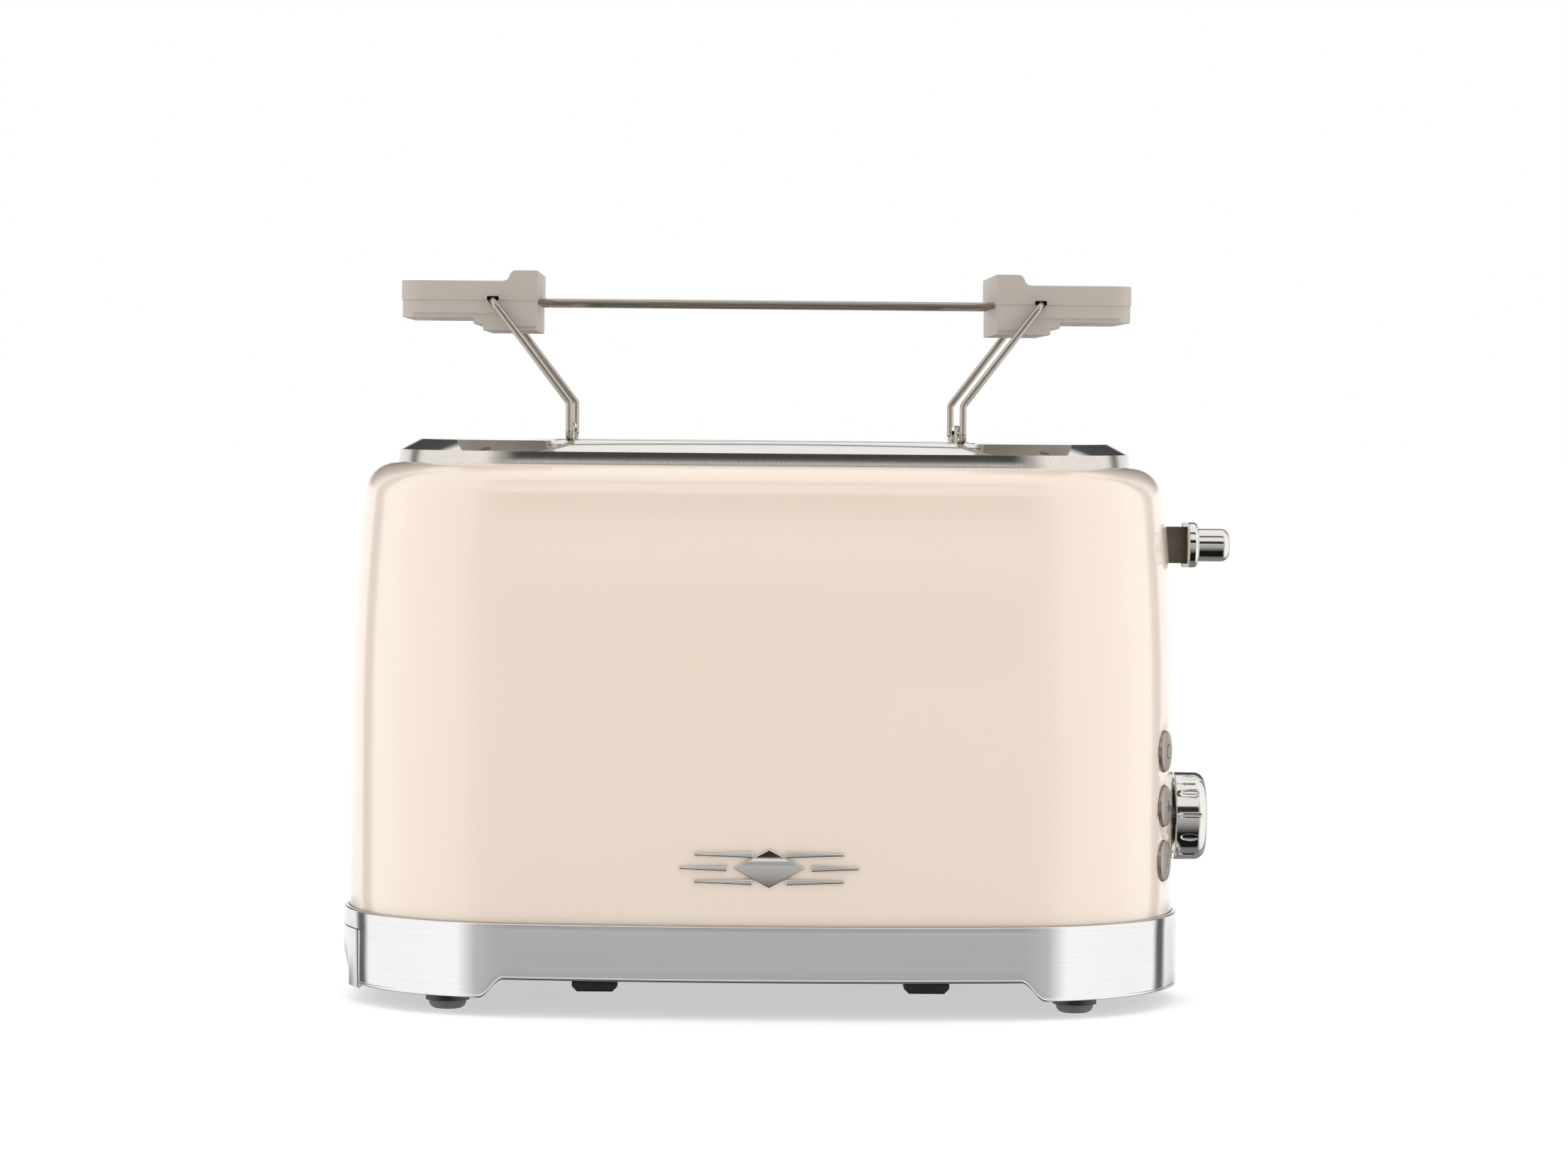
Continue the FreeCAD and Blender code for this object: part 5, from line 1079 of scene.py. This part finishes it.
studio = {
    "camera": (-0.02, -1.946, 0.199),
    "lens": 132.7,
    "pitch": -1.82,
    "yaw": -0.795,
    "roll": 0.5,
    "lamps": {               # place, height aimed at, width, depth, watts
        "keyLeft": ((-1.5, -1.5, 1.3), 0.1, 1.2, 1.2, 0.8),
        "fillRight": ((1.6, -1.3, 0.9), 0.1, 1.0, 1.2, 1.5),
        "top": ((0, 0.2, 1.9), 0.1, 1.6, 1.2, 12.5),
        "sideLeft": ((-2.2, 0.5, 0.7), 0.12, 1.4, 1.4, 7.5),
        "sideRight": ((2.2, 0.5, 0.7), 0.12, 1.4, 1.4, 7.5),
    },
    "floor": "#C4C4C4",
    "floorSize": 40,
    "glow": (0.55, 0.64),    # the floor's own light near the toaster and far from it
    "glowReach": (0.3, 1.0),
    "dome": 0.81,
    "mirror": 1.3,
    # levels of grey round the X axis: 0 straight ahead, 1/4 up, 1/2 away, 3/4 down
    "overhead": [(0, 0.42), (0.014, 0.35), (0.018, 0.9), (0.025, 0.9), (0.029, 0.03), (0.075, 0.03),
                 (0.082, 0.9), (0.155, 0.9), (0.17, 0.06), (0.19, 0.06), (0.2, 0.9), (0.3, 0.98),
                 (0.375, 0.9), (0.4, 0.08), (0.475, 0.05), (0.485, 0.85), (0.515, 0.85), (0.525, 0.1),
                 (0.56, 0.25), (0.745, 0.2), (0.76, 0.01), (0.88, 0.01), (0.9, 0.1), (0.965, 0.42), (1, 0.5)],
    # and round the Z axis: 0 straight ahead, 1 away
    "beside": [(0, 0.48), (0.22, 0.53), (0.29, 1.06), (0.72, 1.0), (0.745, 0.12), (0.775, 0.12), (0.8, 0.9),
               (1, 0.8)],
    "sides": (0.35, 0.65),   # how far to the side the second band takes over from the first
}


def makeCamera():
    data = bpy.data.cameras.new("camera")
    data.lens = studio["lens"]
    camera = addObject("camera", data)
    turn = (Matrix.Rotation(math.radians(studio["yaw"]), 4, "Z")
            @ Matrix.Rotation(math.radians(90 + studio["pitch"]), 4, "X")
            @ Matrix.Rotation(math.radians(studio["roll"]), 4, "Z"))
    camera.matrix_world = Matrix.Translation(studio["camera"]) @ turn
    scene.camera = camera


def softLamp(name, place, aim, width, depth, power):
    data = bpy.data.lights.new(name, "AREA")
    data.shape = "RECTANGLE"
    data.size, data.size_y = width, depth
    data.energy = power
    lamp = addObject(name, data)
    lamp.location = place
    lamp.rotation_euler = (Vector((0, 0, aim)) - Vector(place)).to_track_quat("-Z", "Y").to_euler()
    lamp.visible_glossy = False


def makeFloor():
    # Matt and pale, with a glow for the light that the plain lamps leave out, so that only the shadow shows
    clearSelection()
    bpy.ops.mesh.primitive_plane_add(size=studio["floorSize"])
    floor = newPiece("floor")
    pale, white = colour(studio["floor"]), colour("#FFFFFF")
    material, tree, surface, place = startFinish("paleFloor", Base_Color=pale, Roughness=0.9,
                                                 Specular_IOR_Level=0, Emission_Color=white)
    away = addNode(tree, "VectorMath", {"operation": "LENGTH"}, {"Vector": place}).outputs["Value"]
    near, far = studio["glowReach"]
    dim, bright = studio["glow"]
    settings = {"From Min": near, "From Max": far, "To Min": dim, "To Max": bright}
    glow = addNode(tree, "MapRange", settings, {"Value": away})
    tree.links.new(glow.outputs["Result"], surface.inputs["Emission Strength"])
    floor.data.materials.append(material)
    floor.visible_glossy = False


def makeWorld():
    # White to the eye, an even dome for matt surfaces, softboxes and dark flags for gloss and bright metal
    world = bpy.data.worlds.new("studioWorld")
    scene.world = world
    world.use_nodes = True
    tree = world.node_tree
    tree.nodes.clear()
    look = addNode(tree, "TexCoord").outputs["Generated"]
    axes = addNode(tree, "SeparateXYZ", {}, {"Vector": look}).outputs
    forward = addNode(tree, "Math", {"operation": "MULTIPLY", 1: -1}, {0: axes["Y"]})
    rise = addNode(tree, "Math", {"operation": "ARCTAN2"}, {0: axes["Z"], 1: forward})
    part = addNode(tree, "Math", {"operation": "DIVIDE", 1: fullTurn}, {0: rise})
    around = addNode(tree, "Math", {"operation": "FRACT"}, {0: part})
    side = addNode(tree, "Math", {"operation": "ABSOLUTE"}, {0: axes["X"]})
    swing = addNode(tree, "Math", {"operation": "ARCTAN2"}, {0: side, 1: forward})
    bearing = addNode(tree, "Math", {"operation": "DIVIDE", 1: math.pi}, {0: swing})
    overhead = addNode(tree, "ValToRGB", {"stops": studio["overhead"]}, {"Fac": around})
    beside = addNode(tree, "ValToRGB", {"stops": studio["beside"]}, {"Fac": bearing})
    first, last = studio["sides"]
    settings = {"interpolation_type": "SMOOTHSTEP", "From Min": first, "From Max": last}
    share = addNode(tree, "MapRange", settings, {"Value": side})
    bands = addNode(tree, "Mix", {"data_type": "RGBA"}, {0: share, colourA: overhead, colourB: beside})
    seen = bands.outputs[colourOut]
    rays = addNode(tree, "LightPath").outputs
    plain = colour("#FFFFFF")
    even = addNode(tree, "Background", {"Color": plain, "Strength": studio["dome"]})
    mirror = addNode(tree, "Background", {"Strength": studio["mirror"]}, {"Color": seen})
    white = addNode(tree, "Background", {"Color": plain, "Strength": 1})
    lit = addNode(tree, "MixShader", {}, {0: rays["Is Glossy Ray"], 1: even, 2: mirror})
    direct = {0: rays["Is Camera Ray"], 1: rays["Is Transmission Ray"]}
    clear = addNode(tree, "Math", {"operation": "MAXIMUM"}, direct)
    sky = addNode(tree, "MixShader", {}, {0: clear, 1: lit, 2: white})
    addNode(tree, "OutputWorld", {}, {"Surface": sky})


def makeStudio():
    makeCamera()
    for name, values in studio["lamps"].items():
        softLamp(name, *values)
    makeFloor()
    makeWorld()
    scene.view_settings.view_transform = "Standard"
    print("studio")


makeFinishes()
makeStudio()
makeShell()
makeSkirt()
makeTop()
makeLever()
makeDial()
makeButtons()
makeFeet()
makeGrips()
makeLegs()
makeOrnament()
dressRest()

clearSelection()
